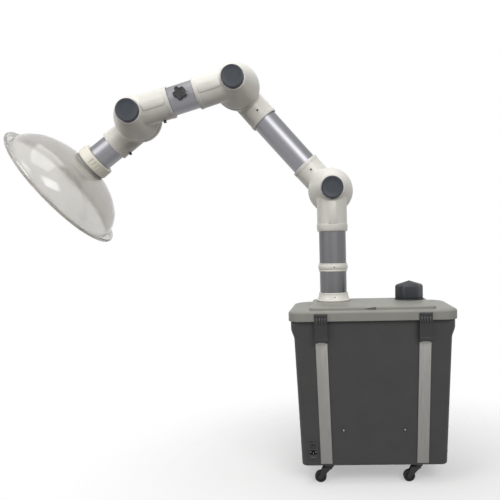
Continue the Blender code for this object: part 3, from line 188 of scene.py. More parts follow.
# Joints and directions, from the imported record
JOINTS = {joint["name"]: joint for joint in frame["record"]["behaviour"]["joints"]}
HINGE = Vector(JOINTS["elbow_1"]["axis"]).normalized()
ELBOW = {n: Vector(JOINTS[f"elbow_{n}"]["pos_m"]) for n in (1, 2, 3)}
MID_RUN = (ELBOW[2] - ELBOW[1]).normalized()
DAMPER_RUN = (ELBOW[3] - ELBOW[2]).normalized()
HOOD_RUN = Vector(JOINTS["hood_turn"]["axis"]).normalized()
HOOD_ORIGIN = Vector(JOINTS["hood_turn"]["pos_m"])
DAMPER_CENTRE = Vector(JOINTS["damper_turn"]["pos_m"])
DOWN = Vector((0, 0, -1))
ACROSS = Vector((1, 0, 0))
SLEEVES = {1: (DOWN, MID_RUN), 2: (DAMPER_RUN, -MID_RUN), 3: (-DAMPER_RUN, HOOD_RUN)}
ELBOW_BODIES = {1: ("column", "lower_arm"), 2: ("upper_arm", "lower_arm"), 3: ("upper_arm", "hood_arm")}
TO_FRONT = Matrix.Rotation(math.radians(90), 4, "X")
TO_BACK = Matrix.Rotation(math.radians(-90), 4, "X")
TO_RIGHT = Matrix.Rotation(math.radians(90), 4, "Y")
ALONG_SLEEVE = Matrix.Translation((0, -TUBE_OFFSET, 0)) @ TO_RIGHT


# Shaping tools


def start(primitive, **settings):
    """Adds one primitive with nothing else selected and opens it for editing."""
    bpy.ops.object.select_all(action="DESELECT")
    getattr(bpy.ops.mesh, f"primitive_{primitive}_add")(**settings)
    bpy.ops.object.mode_set(mode="EDIT")
    bpy.ops.mesh.select_mode(type="VERT" if primitive == "circle" else "FACE")
    return bpy.context.object


def shift(step):
    """Moves what is selected by a step."""
    bpy.ops.transform.translate(value=step)


def stretch(shares, centre=(0, 0, 0)):
    """Scales what is selected about a centre."""
    bpy.ops.transform.resize(value=shares, center_override=centre)


def start_sized(primitive, size, centre):
    """Opens a primitive for editing and brings it to its size and place."""
    obj = start(primitive, size=1)
    stretch(size)
    shift(centre)
    return obj


def pull(step):
    """Extrudes what is selected by a step."""
    bpy.ops.mesh.extrude_region_move(TRANSFORM_OT_translate={"value": step})


def close():
    """Merges doubles, turns the faces outwards and leaves edit mode."""
    bpy.ops.mesh.select_all(action="SELECT")
    bpy.ops.mesh.remove_doubles(threshold=MERGE)
    bpy.ops.mesh.normals_make_consistent(inside=False)
    bpy.ops.object.mode_set(mode="OBJECT")


def pick(kind, items, test):
    """Selects the items of the mesh being edited that pass a test."""
    bpy.ops.mesh.select_mode(type=kind)
    bpy.ops.mesh.select_all(action="DESELECT")
    mesh = bpy.context.edit_object.data
    for item in getattr(bmesh.from_edit_mesh(mesh), items):
        item.select_set(test(item))
    bmesh.update_edit_mesh(mesh)


def pick_faces(test):
    """Selects the faces whose middle and normal pass a test."""
    pick("FACE", "faces", lambda face: test(face.calc_center_median(), face.normal))


def pick_points(test):
    """Selects the points whose place passes a test."""
    pick("VERT", "verts", lambda point: test(point.co))


def select(*objects):
    """Selects these objects alone, the first of them active."""
    bpy.ops.object.select_all(action="DESELECT")
    for obj in objects:
        obj.select_set(True)
    bpy.context.view_layer.objects.active = objects[0]


def modify(obj, kind, **settings):
    """Adds a modifier with its settings and applies it."""
    select(obj)
    modifier = obj.modifiers.new(kind.lower(), kind)
    for key, value in settings.items():
        setattr(modifier, key, value)
    bpy.ops.object.modifier_apply(modifier=modifier.name)
    return obj


def discard(*objects):
    """Removes tools and patterns that have been used."""
    for obj in objects:
        bpy.data.objects.remove(obj, do_unlink=True)


def combine(obj, tool, operation="DIFFERENCE"):
    """Cuts a tool out of a body, or joins it on, and removes the tool."""
    modify(obj, "BOOLEAN", object=tool, operation=operation, solver="EXACT")
    discard(tool)
    return obj


def ease(obj, width, segments=3, angle=40):
    """Rounds the sharp edges of a body."""
    limit = math.radians(angle)
    return modify(obj, "BEVEL", width=width, segments=segments, limit_method="ANGLE", angle_limit=limit)


def joined(*objects):
    """Several bodies as one piece."""
    select(*objects)
    bpy.ops.object.join()
    return objects[0]


def put(obj, place):
    """Writes a place into the mesh, so that the object stays at the origin."""
    obj.data.transform(place)
    if place.determinant() < 0:
        obj.data.flip_normals()
    return obj


def twin(obj, place=Matrix.Identity(4)):
    """A copy with its own mesh, at another place."""
    copy = obj.copy()
    copy.data = obj.data.copy()
    bpy.context.scene.collection.objects.link(copy)
    return put(copy, place)


def at(x, y, z):
    """A place moved from the origin."""
    return Matrix.Translation((x, y, z))


def rotation(degrees, axis="Z"):
    """A turn about an axis."""
    return Matrix.Rotation(math.radians(degrees), 4, axis)


def arc(centre, radius, first, last, steps=6):
    """Points of an arc in a profile; the angles are in degrees, and the radius may be a pair."""
    wide, tall = radius if isinstance(radius, tuple) else (radius, radius)
    points = []
    for step in range(steps + 1):
        angle = math.radians(first + (last - first) * step / steps)
        points.append((centre[0] + wide * math.cos(angle), centre[1] + tall * math.sin(angle)))
    return points


def turned(profile, sides=ROUND):
    """A body turned about Z from (radius, height) points; one that ends where it starts is a ring."""
    ring = profile[0] == profile[-1]
    radius, height = profile[0]
    obj = start("circle", vertices=sides, radius=radius, fill_type="NOTHING" if ring else "NGON")
    shift((0, 0, height))
    for new_radius, new_height in profile[1:]:
        pull((0, 0, new_height - height))
        share = new_radius / radius
        stretch((share, share, 1), (0, 0, new_height))
        radius, height = new_radius, new_height
    close()
    return obj


def drawn(levels, corner, segments=8):
    """A body drawn up through rounded rectangles, each given as (width, depth, height).

    The corner radius may be a pair, front and rear.
    """
    width, depth, height = levels[0]
    front, rear = corner if isinstance(corner, tuple) else (corner, corner)
    obj = start_sized("plane", (width, depth, 1), (0, 0, height))
    pick_points(lambda spot: spot.y > 0)
    bpy.ops.mesh.bevel(offset=rear, segments=segments, affect="VERTICES")
    pick_points(lambda spot: spot.y < MERGE - depth / 2)
    bpy.ops.mesh.bevel(offset=front, segments=segments, affect="VERTICES")
    bpy.ops.mesh.select_mode(type="FACE")
    bpy.ops.mesh.select_all(action="SELECT")
    for new_width, new_depth, new_height in levels[1:]:
        pull((0, 0, new_height - height))
        stretch((new_width / width, new_depth / depth, 1), (0, 0, new_height))
        width, depth, height = new_width, new_depth, new_height
    close()
    return obj


def block(size, centre, edge=0.0, segments=3):
    """A box with eased edges."""
    obj = start_sized("cube", size, centre)
    close()
    return ease(obj, edge, segments) if edge else obj


def rod(radius, low, high, sides=SMALL_ROUND, edge=0.0):
    """A round rod along Z with eased ends."""
    obj = turned([(radius, low), (radius, high)], sides)
    return ease(obj, edge, 2) if edge else obj


def towards(origin, direction):
    """A place whose Z axis runs along a direction."""
    return Matrix.Translation(origin) @ direction.to_track_quat("Z", "Y").to_matrix().to_4x4()


def hinge_place(origin, sleeve):
    """A place on the arm: X along the sleeve, Y along the hinge towards the back."""
    axes = Matrix((sleeve, HINGE, sleeve.cross(HINGE))).transposed()
    return Matrix.Translation(origin) @ axes.to_4x4()


def tub_size(z):
    """Width and depth of the tapered tub at a height."""
    share = (z - TUB_BOTTOM_Z) / (TUB_TOP_Z - TUB_BOTTOM_Z)
    return [low + (high - low) * share for low, high in zip(TUB_BOTTOM, TUB_TOP)]


def heading(face):
    """The turn of what sits on the cabinet's front (-1) or rear (+1)."""
    return rotation(180 if face > 0 else 0)


def wall_place(x, z, face):
    """A place on the tub's drafted front or rear: X to its right, Y into the wall, Z up."""
    draft = math.atan2((TUB_TOP[1] - TUB_BOTTOM[1]) / 2, TUB_TOP_Z - TUB_BOTTOM_Z)
    return at(x, face * tub_size(z)[1] / 2, z) @ heading(face) @ Matrix.Rotation(draft, 4, "X")


def grille_place():
    """The place of the exhaust grille on the tub's rear wall."""
    low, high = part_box("exhaust_grille")
    return wall_place((low[0] + high[0]) / 2, (low[2] + high[2]) / 2, 1)


def hand_over(obj, name, body, material, nodes=()):
    """Names a piece, gives it its finish and smooth shading, ties it to its body and hides the nodes it
    stands for.
    """
    obj.name = name
    obj.data.name = name
    obj.data.materials.clear()
    obj.data.materials.append(material)
    select(obj)
    bpy.ops.object.shade_smooth_by_angle(angle=SMOOTH_ANGLE)
    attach(obj, body)
    if nodes:
        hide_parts(*nodes)


# Materials


def linear(colour):
    """Linear RGBA of an sRGB hex colour."""
    channels = [int(colour[i : i + 2], 16) / 255 for i in (0, 2, 4)]
    return (*[c / 12.92 if c <= 0.04045 else ((c + 0.055) / 1.055) ** 2.4 for c in channels], 1.0)


def add(tree, kind, settings, links):
    """Adds a node with its settings and its input links."""
    node = tree.nodes.new("ShaderNode" + kind)
    for key, value in settings.items():
        if isinstance(key, int) or key in node.inputs:
            node.inputs[key].default_value = value
        else:
            setattr(node, key, value)
    for key, socket in links.items():
        tree.links.new(socket, node.inputs[key])
    return node


def new_material(name, sockets):
    """A material with a Principled shader whose own sockets are set."""
    material = bpy.data.materials.new(name)
    material.use_nodes = True
    shader = material.node_tree.nodes["Principled BSDF"]
    for key, value in sockets.items():
        shader.inputs[key].default_value = value
    return material, material.node_tree, shader


def dress(tree, shader, tones, clouds, rough, grain, relief=None):
    """Varies a finish: clouds shift it between two tones, and a grain breaks up its gloss and its surface."""
    ends = {"data_type": "RGBA", 6: linear(tones[0]), 7: linear(tones[1])}
    colour = add(tree, "Mix", ends, {0: clouds})
    tree.links.new(colour.outputs[2], shader.inputs["Base Color"])
    if rough:
        ends = {"From Min": 0.3, "From Max": 0.7, "To Min": rough[0], "To Max": rough[1]}
        gloss = add(tree, "MapRange", ends, {"Value": grain})
        tree.links.new(gloss.outputs["Result"], shader.inputs["Roughness"])
    if relief:
        strength, depth_mm = relief
        bump = add(tree, "Bump", {"Strength": strength, "Distance": depth_mm * MM}, {"Height": grain})
        tree.links.new(bump.outputs["Normal"], shader.inputs["Normal"])


def moulded(name, tones, grain_mm, bump_mm, rough, cloud_mm=45, sockets=None):
    """Moulded plastic: a spark-eroded grain, drawn coarse enough to show, and faint clouds in the colour."""
    material, tree, shader = new_material(name, {"IOR": 1.5, **(sockets or {})})
    where = add(tree, "TexCoord", {}, {}).outputs["Object"]
    patterns = []
    for size_mm in (cloud_mm, grain_mm):
        scale = {"vector_type": "TEXTURE", "Scale": (size_mm * MM,) * 3}
        cells = add(tree, "Mapping", scale, {"Vector": where}).outputs["Vector"]
        noise = add(tree, "TexNoise", {"Scale": 1.0, "Detail": 3.0}, {"Vector": cells})
        patterns.append(noise.outputs["Fac"])
    clouds, grain = patterns
    dress(tree, shader, tones, clouds, rough, grain, (0.5, bump_mm) if bump_mm else None)
    return material


def drawn_metal(name, tones, run, line_mm, length_mm, rough, bump_mm):
    """Metal with lines along one direction, drawn coarser than the real ones so that they show."""
    material, tree, shader = new_material(name, {"Metallic": 1.0})
    where = add(tree, "TexCoord", {}, {}).outputs["Object"]
    turn = run.to_track_quat("X", "Z").to_euler()
    size = (length_mm * MM, line_mm * MM, line_mm * MM)
    scale = {"vector_type": "TEXTURE", "Rotation": turn, "Scale": size}
    cells = add(tree, "Mapping", scale, {"Vector": where}).outputs["Vector"]
    lines = add(tree, "TexNoise", {"Scale": 1.0, "Detail": 3.0}, {"Vector": cells}).outputs["Fac"]
    dress(tree, shader, tones, lines, rough, lines, (0.4, bump_mm))
    return material


def anodised(name, run, tones):
    # Satin anodised aluminium tube: silver with faint extrusion lines along its length
    return drawn_metal(name, tones, run, 1.6, 260, (0.34, 0.40), 0.004)


def pleated(name, tones, pleat_mm):
    # Pleated filter media: soft folds in rows with a dull fibrous surface; the colour follows the folds,
    # darker in their valleys as painted shade in the creases
    material, tree, shader = new_material(name, {"Roughness": 0.95})
    where = add(tree, "TexCoord", {}, {}).outputs["Object"]
    scale = {"vector_type": "TEXTURE", "Scale": (pleat_mm * MM,) * 3}
    cells = add(tree, "Mapping", scale, {"Vector": where}).outputs["Vector"]
    folds = add(tree, "TexWave", {"Scale": 1.0, "Distortion": 1.5}, {"Vector": cells}).outputs["Fac"]
    # The folds drive both the colour and the bump: painted shade in the valleys.
    dress(tree, shader, tones, folds, None, folds, (0.6, 1.0))
    return material


# Sockets that set three of the plastics apart
DULL = {"Specular IOR Level": 0.35}
MILKY = {"Subsurface Weight": 0.05}
CLEAR = {"IOR": 1.49, "Transmission Weight": 0.84}

# Moulded ABS with a fine matt grain: dark warm grey with a soft, broken sheen
CHARCOAL = moulded("charcoal ABS", ("2f2e2e", "3b3a3a"), 1.1, 0.05, (0.46, 0.64))
# Moulded ABS, smoother than the tub: warm mid grey with a dull shine on its edges
LID_GREY = moulded("grey ABS", ("898983", "999891"), 0.9, 0.03, (0.4, 0.54), 45, DULL)
# Glass-filled nylon, slightly shiny on its ribs
LATCH_GREY = moulded("latch nylon", ("1c1c1d", "29292a"), 0.8, 0.02, (0.22, 0.34), 12)
# Black moulded nylon with a satin sheen
BLACK = moulded("black nylon", ("141415", "202122"), 0.8, 0.03, (0.36, 0.52), 10)
# Moulded ABS with a cold tint and a matt grain
CAP_GREY = moulded("cap ABS", ("212429", "2d3036"), 1.0, 0.04, (0.44, 0.6), 25)
# Moulded ABS in a dark blue grey, matt all over
KNOB_GREY = moulded("knob ABS", ("1f242c", "2a3039"), 0.9, 0.04, (0.46, 0.6), 15)
# Polished-mould ABS in an ivory white: satin gloss with very faint flow marks
IVORY = moulded("ivory ABS", ("dcd8d0", "eae6de"), 2.2, 0.012, (0.3, 0.38), 60, MILKY)
# Creamier ABS of the collar, from another mould
CREAM = moulded("cream ABS", ("e3dfd0", "efebde"), 1.6, 0.015, (0.34, 0.44), 30)
# Matt black tyre rubber with a dusty bloom
RUBBER = moulded("black rubber", ("181818", "2b2b2a"), 1.4, 0.08, (0.66, 0.85), 14)
# Soft seal rubber, dark and dull
SEAL = moulded("seal rubber", ("121212", "1f1f1f"), 1.0, 0.05, (0.7, 0.85), 10)
# Mill-finish flat bar: pale warm grey with fine drawing lines along the strap
BAR = drawn_metal("bar aluminium", ("7d7b78", "989693"), DOWN, 0.9, 120, (0.36, 0.5), 0.02)
# Zinc-plated steel of the fasteners and the inner works, with short brushing marks
STEEL = drawn_metal("zinc-plated steel", ("85868a", "a5a6a8"), ACROSS, 0.8, 12, (0.28, 0.42), 0.01)
# Vacuum-formed acrylic: clear with a grey haze and a gloss that is slightly uneven from handling
ACRYLIC = moulded("clear acrylic", ("d0cec9", "e0deda"), 9, 0, (0.06, 0.16), 80, CLEAR)


# Arm


def tube_ring(low, high):
    """A tube along Z with eased ends."""
    inner = TUBE_RADIUS - TUBE_WALL
    edge = 0.0006
    profile = [(inner, low), (TUBE_RADIUS - edge, low), (TUBE_RADIUS, low + edge), (TUBE_RADIUS, high - edge)]
    profile += [(TUBE_RADIUS - edge, high), (inner, high), (inner, low)]
    return turned(profile)


def make_tubes():
    """The five aluminium tubes, each with lines along its own length; one metal in two tones: the column's
    darker as painted shade, the arm's a brighter silver as a painted sheen.
    """
    # The column's tones are painted darker than the arm's: painted shade on the same metal.
    column = anodised("column aluminium", DOWN, ("666668", "777779"))
    for name, body in (("lower_tube", "cabinet"), ("upper_tube", "column")):
        low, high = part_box(name)
        tube = put(tube_ring(low[2], high[2]), at(PORT.x, PORT.y, 0))
        hand_over(tube, name + "_satin", body, column, [name])
    mid_end = (ELBOW[2] - ELBOW[1]).length - TUBE_START
    damper_end = (ELBOW[3] - ELBOW[2]).length - TUBE_START
    spans = (
        ("mid_tube", "lower_arm", ELBOW[1] + HINGE * TUBE_OFFSET, MID_RUN, mid_end),
        ("damper_tube", "upper_arm", ELBOW[2] - HINGE * TUBE_OFFSET, DAMPER_RUN, damper_end),
        ("hood_tube", "hood_arm", HOOD_ORIGIN, HOOD_RUN, HOOD_TUBE_END),
    )
    for name, body, origin, run, end in spans:
        tube = put(tube_ring(TUBE_START, end), towards(origin, run))
        # The arm's tones are a brighter silver than the column's: a painted sheen on the same metal.
        finish = anodised(name.split("_")[0] + " aluminium", run, ("7e7e82", "909094"))
        hand_over(tube, name + "_satin", body, finish, [name])


def elbow_shell():
    """The front half of an elbow: hinge along Y, sleeve along +X, tapered towards -Y, hollow inside."""
    side = [(SEAM_RADIUS, SEAM_FACE)]
    steps, bulge, flare = 12, 0.04, 0.0006
    for step in range(steps + 1):
        share = step / steps
        swell = bulge * math.sin(math.pi * share)
        radius = SEAM_RADIUS + (SEAT_RADIUS - SEAM_RADIUS) * (share - swell)
        side.append((radius, ELBOW_RIM + (ELBOW_DEPTH - ELBOW_RIM) * (share + swell)))
    cone = put(turned(side), TO_FRONT)
    sleeve = turned([(SLEEVE_RADIUS, SLEEVE_START), (SLEEVE_RADIUS + flare, SLEEVE_LENGTH)])
    shell = joined(cone, put(sleeve, ALONG_SLEEVE))
    modify(shell, "REMESH", mode="VOXEL", voxel_size=0.0021)
    modify(shell, "SMOOTH", factor=0.5, iterations=9)
    modify(shell, "SUBSURF", levels=1, render_levels=1)
    inner = [(SEAM_RADIUS - ELBOW_WALL, -ELBOW_WALL), (SEAM_RADIUS - ELBOW_WALL, ELBOW_RIM)]
    inner += [(SEAT_RADIUS - ELBOW_WALL, ELBOW_DEPTH - 2 * ELBOW_WALL)]
    combine(shell, put(turned(inner), TO_FRONT))
    bore, mouth = TUBE_RADIUS + BORE_CLEAR, TUBE_RADIUS + 0.0022
    profile = [(bore, SEAT_RADIUS / 2), (bore, SLEEVE_LENGTH - 0.003)]
    profile += [(mouth, SLEEVE_LENGTH - 0.0005), (mouth, SLEEVE_LENGTH + 0.01)]
    combine(shell, put(turned(profile), ALONG_SLEEVE))
    inside, outside, top, soft = 0.058, SEAM_RADIUS + 0.0012, 0.0058, 0.0012
    profile = [(inside, SEAM_FACE), (outside - 0.0008, SEAM_FACE), (outside, SEAM_FACE + 0.0008)]
    profile += arc((outside - soft, top - soft), soft, 0, 90, 4) + [(inside, top), (inside, SEAM_FACE)]
    rim = put(turned(profile), TO_FRONT)
    band = put(sleeve_band(SLEEVE_LENGTH - 0.0105, SLEEVE_LENGTH), ALONG_SLEEVE)
    inside, outside, low = 0.012, SEAT_RADIUS + 0.0016, ELBOW_DEPTH - 0.005
    profile = [(inside, low), (outside, low)] + arc((outside - soft, ELBOW_DEPTH - soft), soft, 0, 90, 4)
    seat = put(turned(profile + [(inside, ELBOW_DEPTH), (inside, low)]), TO_FRONT)
    return joined(shell, rim, band, seat)


def sleeve_band(low, high, proud=0.0014, mouth=(0.0018, 0.0018)):
    """The slightly thicker band at the mouth of a sleeve, along Z, with soft edges."""
    bore, outer, soft = TUBE_RADIUS + BORE_CLEAR, SLEEVE_RADIUS + proud, 0.0008
    profile = [(bore, low), (outer - 0.0010, low)] + arc((outer - soft, low + soft), soft, -90, 0, 3)
    profile += arc((outer - mouth[0], high - mouth[1]), mouth, 0, 90, 6)
    return turned(profile + [(bore + 0.0016, high), (bore, high - 0.0020), (bore, low)])


def sleeve_pad():
    """The long raised pad on a front half's sleeve, with round ends."""
    length, width, corner, middle = 0.062, 0.026, 0.0080, 0.0675
    pad = drawn([(length, width, 0.0), (length, width, 0.060)], corner, 8)
    put(pad, at(middle, -TUBE_OFFSET, 0) @ TO_FRONT)
    outer = SLEEVE_RADIUS + 0.0021
    skin = turned([(outer, 0.020), (outer, SLEEVE_LENGTH)])
    combine(pad, put(skin, ALONG_SLEEVE), "INTERSECT")
    return ease(pad, 0.0004, 2, 50)


def friction_knob():
    """A knob about Z: a low disc with a toothed edge and a dished face."""
    teeth, tooth_depth = 36, 0.0012
    knob = start("cylinder", vertices=teeth * 3, radius=KNOB_RADIUS, depth=KNOB_HEIGHT)
    shift((0, 0, KNOB_HEIGHT / 2))
    pitch = 2 * math.pi / teeth
    pick_faces(lambda spot, normal: abs(normal.z) < 0.5 and math.atan2(spot.y, spot.x) % pitch < pitch / 3)
    bpy.ops.mesh.extrude_faces_move(TRANSFORM_OT_shrink_fatten={"value": -tooth_depth})
    pick_faces(lambda spot, normal: normal.z > 0.5 and spot.z > KNOB_HEIGHT * 0.9)
    for inset, rise in ((0.0030, 0.0007), (0.0020, -0.0009), (0.0120, -0.0003)):
        bpy.ops.mesh.inset(thickness=inset)
        shift((0, 0, rise))
    close()
    return ease(knob, 0.0004, 2, 50)


def pivot_bolt():
    """The pivot bolt along the hinge: a round shank and a hexagon head behind the back half."""
    shank_radius, head_radius, seat = 0.005, 0.010, ELBOW_DEPTH + 0.0003
    shank = rod(shank_radius, -ELBOW_DEPTH - 0.0073, ELBOW_DEPTH + 0.001)
    head = ease(turned([(head_radius, seat), (head_radius, seat + 0.006)], 6), 0.0008, 2)
    return put(joined(shank, head), TO_BACK)


def make_elbows():
    """Six elbow halves, three knobs and the pivot bolts."""
    front = elbow_shell()
    back = twin(front, Matrix.Scale(-1, 4, (0, 1, 0)))
    joined(front, sleeve_pad())
    knob = put(friction_knob(), at(0, -ELBOW_DEPTH - 0.0003, 0) @ TO_FRONT)
    bolt = pivot_bolt()
    for n, (front_sleeve, back_sleeve) in SLEEVES.items():
        front_body, back_body = ELBOW_BODIES[n]
        place = hinge_place(ELBOW[n], front_sleeve)
        half = f"elbow_{n}_front"
        shell = twin(front, place)
        if n == 1:
            skirt = sleeve_band(*COLUMN_SKIRT, 0.0018, (0.0036, 0.0130))
            joined(shell, put(skirt, place @ ALONG_SLEEVE))
        hand_over(shell, half + "_shell", front_body, IVORY, [half])
        grip = f"knob_{n}"
        hand_over(twin(knob, place), grip + "_grip", f"friction_{grip}", KNOB_GREY, [grip])
        hand_over(twin(bolt, place), f"hinge_bolt_{n}", front_body, STEEL, [f"pivot_bolt_{n}"])
        place = hinge_place(ELBOW[n], back_sleeve)
        half = f"elbow_{n}_back"
        hand_over(twin(back, place), half + "_shell", back_body, IVORY, [half])
    discard(front, back, knob, bolt)


def make_arm_screws():
    """Small black screws in the sleeves, sunk at the front and standing out below."""
    flush = turned([(0.0028, -0.004), (0.0028, 0.0003), (0.0020, 0.0007), (0.0012, 0.0003)], 20)
    thumb = turned([(0.0042, -0.002), (0.0042, 0.0045), (0.0034, 0.0056), (0.0012, 0.0058)], 20)
    to_below = rotation(180, "X")
    level = SLEEVE_RADIUS + 0.0009
    front_along, damper_along, hood_along = 0.083, 0.077, 0.086
    front = at(front_along, TUBE_OFFSET - level, 0) @ TO_FRONT
    spots = {
        "lower_arm": [(flush, 1, 1, front), (flush, 2, 1, front)],
        "upper_arm": [(thumb, 3, 0, at(damper_along, -TUBE_OFFSET, -level) @ to_below)],
        "hood_arm": [(thumb, 3, 1, at(hood_along, TUBE_OFFSET, level))],
    }
    for body, screws in spots.items():
        made = [twin(kind, hinge_place(ELBOW[n], SLEEVES[n][half]) @ spot) for kind, n, half, spot in screws]
        hand_over(joined(*made), body + "_screws", body, BLACK)
    discard(flush, thumb)


def make_column_trim():
    """The flared flange on the lid and the rolled swivel ring, each with a small screw at the front."""
    bore, foot, base, top = TUBE_RADIUS + 0.0002, 0.0477, 0.0003, 0.0240
    flare = [(bore, base), (foot - 0.0012, base)]
    flare += arc((foot - 0.0018, base + 0.0025), (0.0018, 0.0025), -75, 80, 6)
    flare += [(0.0450, 0.0058), (0.0430, 0.0106), (0.0414, 0.0160), (0.0406, 0.0202)]
    flare += arc((0.0396, top - 0.0018), (0.0014, 0.0018), -40, 90, 5)
    flare += [(bore, top), (bore, base)]
    flange = put(turned(flare), Matrix.Translation(PORT))
    hand_over(flange, "base_flange_flared", "cabinet", IVORY, ["base_flange"])
    low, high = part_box("swivel_ring")
    middle, half = (low[2] + high[2]) / 2, (high[2] - low[2]) / 2
    belly = [(bore, -half), (0.0390, -half)]
    belly += arc((0.0390, 0.0022 - half), (0.0014, 0.0022), -90, 60, 5)
    belly += arc((0.0390, 0.0010), (0.0027, half - 0.0044), -70, 70, 8)
    belly += arc((0.0388, half - 0.0016), (0.0010, 0.0016), -50, 90, 5)
    belly += [(bore, half), (bore, -half)]
    ring = put(turned(belly), at(PORT.x, PORT.y, middle))
    hand_over(ring, "swivel_ring_rolled", "cabinet", IVORY, ["swivel_ring"])
    screw = turned([(0.0017, -0.003), (0.0017, 0.0004), (0.0010, 0.0006)], 16)
    around = at(PORT.x, PORT.y, 0) @ rotation(6)
    ring_face, flange_face = 0.0415, 0.0423
    upper = twin(screw, around @ at(0, -ring_face, middle + 0.001) @ TO_FRONT)
    lower = put(screw, around @ at(0, -flange_face, LID_TOP_Z + 0.0125) @ TO_FRONT)
    hand_over(joined(upper, lower), "column_screws", "cabinet", BLACK)


def make_damper_knob():
    """A black knob in front of the damper tube: five round lobes on a low boss, with a dished face."""
    lobes, radius, boss_radius, low, high = 5, 0.0180, 0.0090, 0.0035, 0.0170
    knob = start("cylinder", vertices=lobes * 12, radius=radius, depth=high - low)
    shift((0, 0, (low + high) / 2))
    pitch = 2 * math.pi / lobes
    for reach, waist in ((0.37, 0.98), (0.29, 0.95), (0.20, 0.90), (0.10, 0.88), (0.04, 0.95)):
        pick_points(lambda spot: abs(math.atan2(spot.y, spot.x) % pitch / pitch - 0.5) < reach)
        stretch((waist, waist, 1))
    pick_faces(lambda spot, normal: normal.z > 0.5)
    for inset, rise in ((0.0026, 0.0008), (0.0022, -0.0014)):
        bpy.ops.mesh.inset(thickness=inset)
        shift((0, 0, rise))
    close()
    ease(knob, 0.0006, 2, 50)
    boss = rod(boss_radius, 0.0, low + 0.002)
    place = hinge_place(DAMPER_CENTRE, DAMPER_RUN) @ TO_FRONT @ at(0, 0, TUBE_RADIUS + 0.0005)
    knob = put(combine(knob, boss, "UNION"), place)
    hand_over(knob, "damper_knob_lobed", "damper", BLACK, ["damper_knob"])


def dome_points(radii, base, begin, steps=28):
    """Profile of the dome from its neck down to its base."""
    turn = arc((0, 0), 1, begin, 90, steps)
    return [(radii[0] * sine, base - radii[1] * cosine) for cosine, sine in turn]


def make_hood():
    """The cream collar with its grips, the neck ring and the clear dome with a rolled brim."""
    place = towards(HOOD_ORIGIN, HOOD_RUN) @ rotation(-90)
    bore, seat, low, step_up, high, soft = 0.0377, 0.0422, 0.165, 0.1777, 0.195, 0.0025
    profile = [(bore, low), (0.0460, low)] + arc((0.0460, low + soft), soft, -90, 0, 5)
    profile += arc((0.0470, high - soft), soft, 0, 90, 5)
    profile += [(seat, high), (seat, step_up), (bore, step_up), (bore, low)]
    collar = turned(profile)
    notch_size, notch_centre = (0.0060, 0.0052, 0.0180), (0.0494, 0, 0.1800)
    notch_pitch, first_notch = 13, -22
    notches = []
    for quarter in range(4):
        for step in (-1, 0, 1):
            angle = 90 * quarter + notch_pitch * step + first_notch
            notch = block(notch_size, notch_centre, 0.0012, 2)
            notches.append(put(notch, rotation(angle)))
    combine(collar, joined(*notches))
    hand_over(put(collar, place), "hood_collar_grip", "hood", CREAM, ["hood_collar"])
    # The neck ring closes the gap between collar and dome; its grey, darker than the cream collar, is also
    # painted shade where the collar meets the dome.
    profile = [(0.0413, 0.1953), (0.0462, 0.1953), (0.0462, 0.2015), (0.0490, 0.2050)]
    profile += [(0.0475, 0.2062), (0.0413, 0.2040), (0.0413, 0.1953)]
    neck_ring = put(turned(profile), place)
    hand_over(neck_ring, "hood_neck_ring", "hood", LID_GREY)
    bore, neck, wall, top = 0.038, 0.041, 0.0025, 0.178
    outer, rise, brim = 0.178, 0.1075, (0.0045, 0.0050)
    begin = math.degrees(math.asin(neck / outer))
    profile = [(bore, top), (neck, top)] + dome_points((outer, rise), HOOD_MOUTH - wall, begin)
    profile += arc((0.1925, HOOD_MOUTH - brim[1]), brim, 150, 450, 16)
    begin = math.degrees(math.asin(bore / (outer - wall)))
    profile += list(reversed(dome_points((outer - wall, rise), HOOD_MOUTH, begin))) + [(bore, top)]
    dome = put(turned(profile, HOOD_ROUND), place)
    hand_over(dome, "dome_hood_clear", "hood", ACRYLIC, ["dome_hood"])


# Cabinet


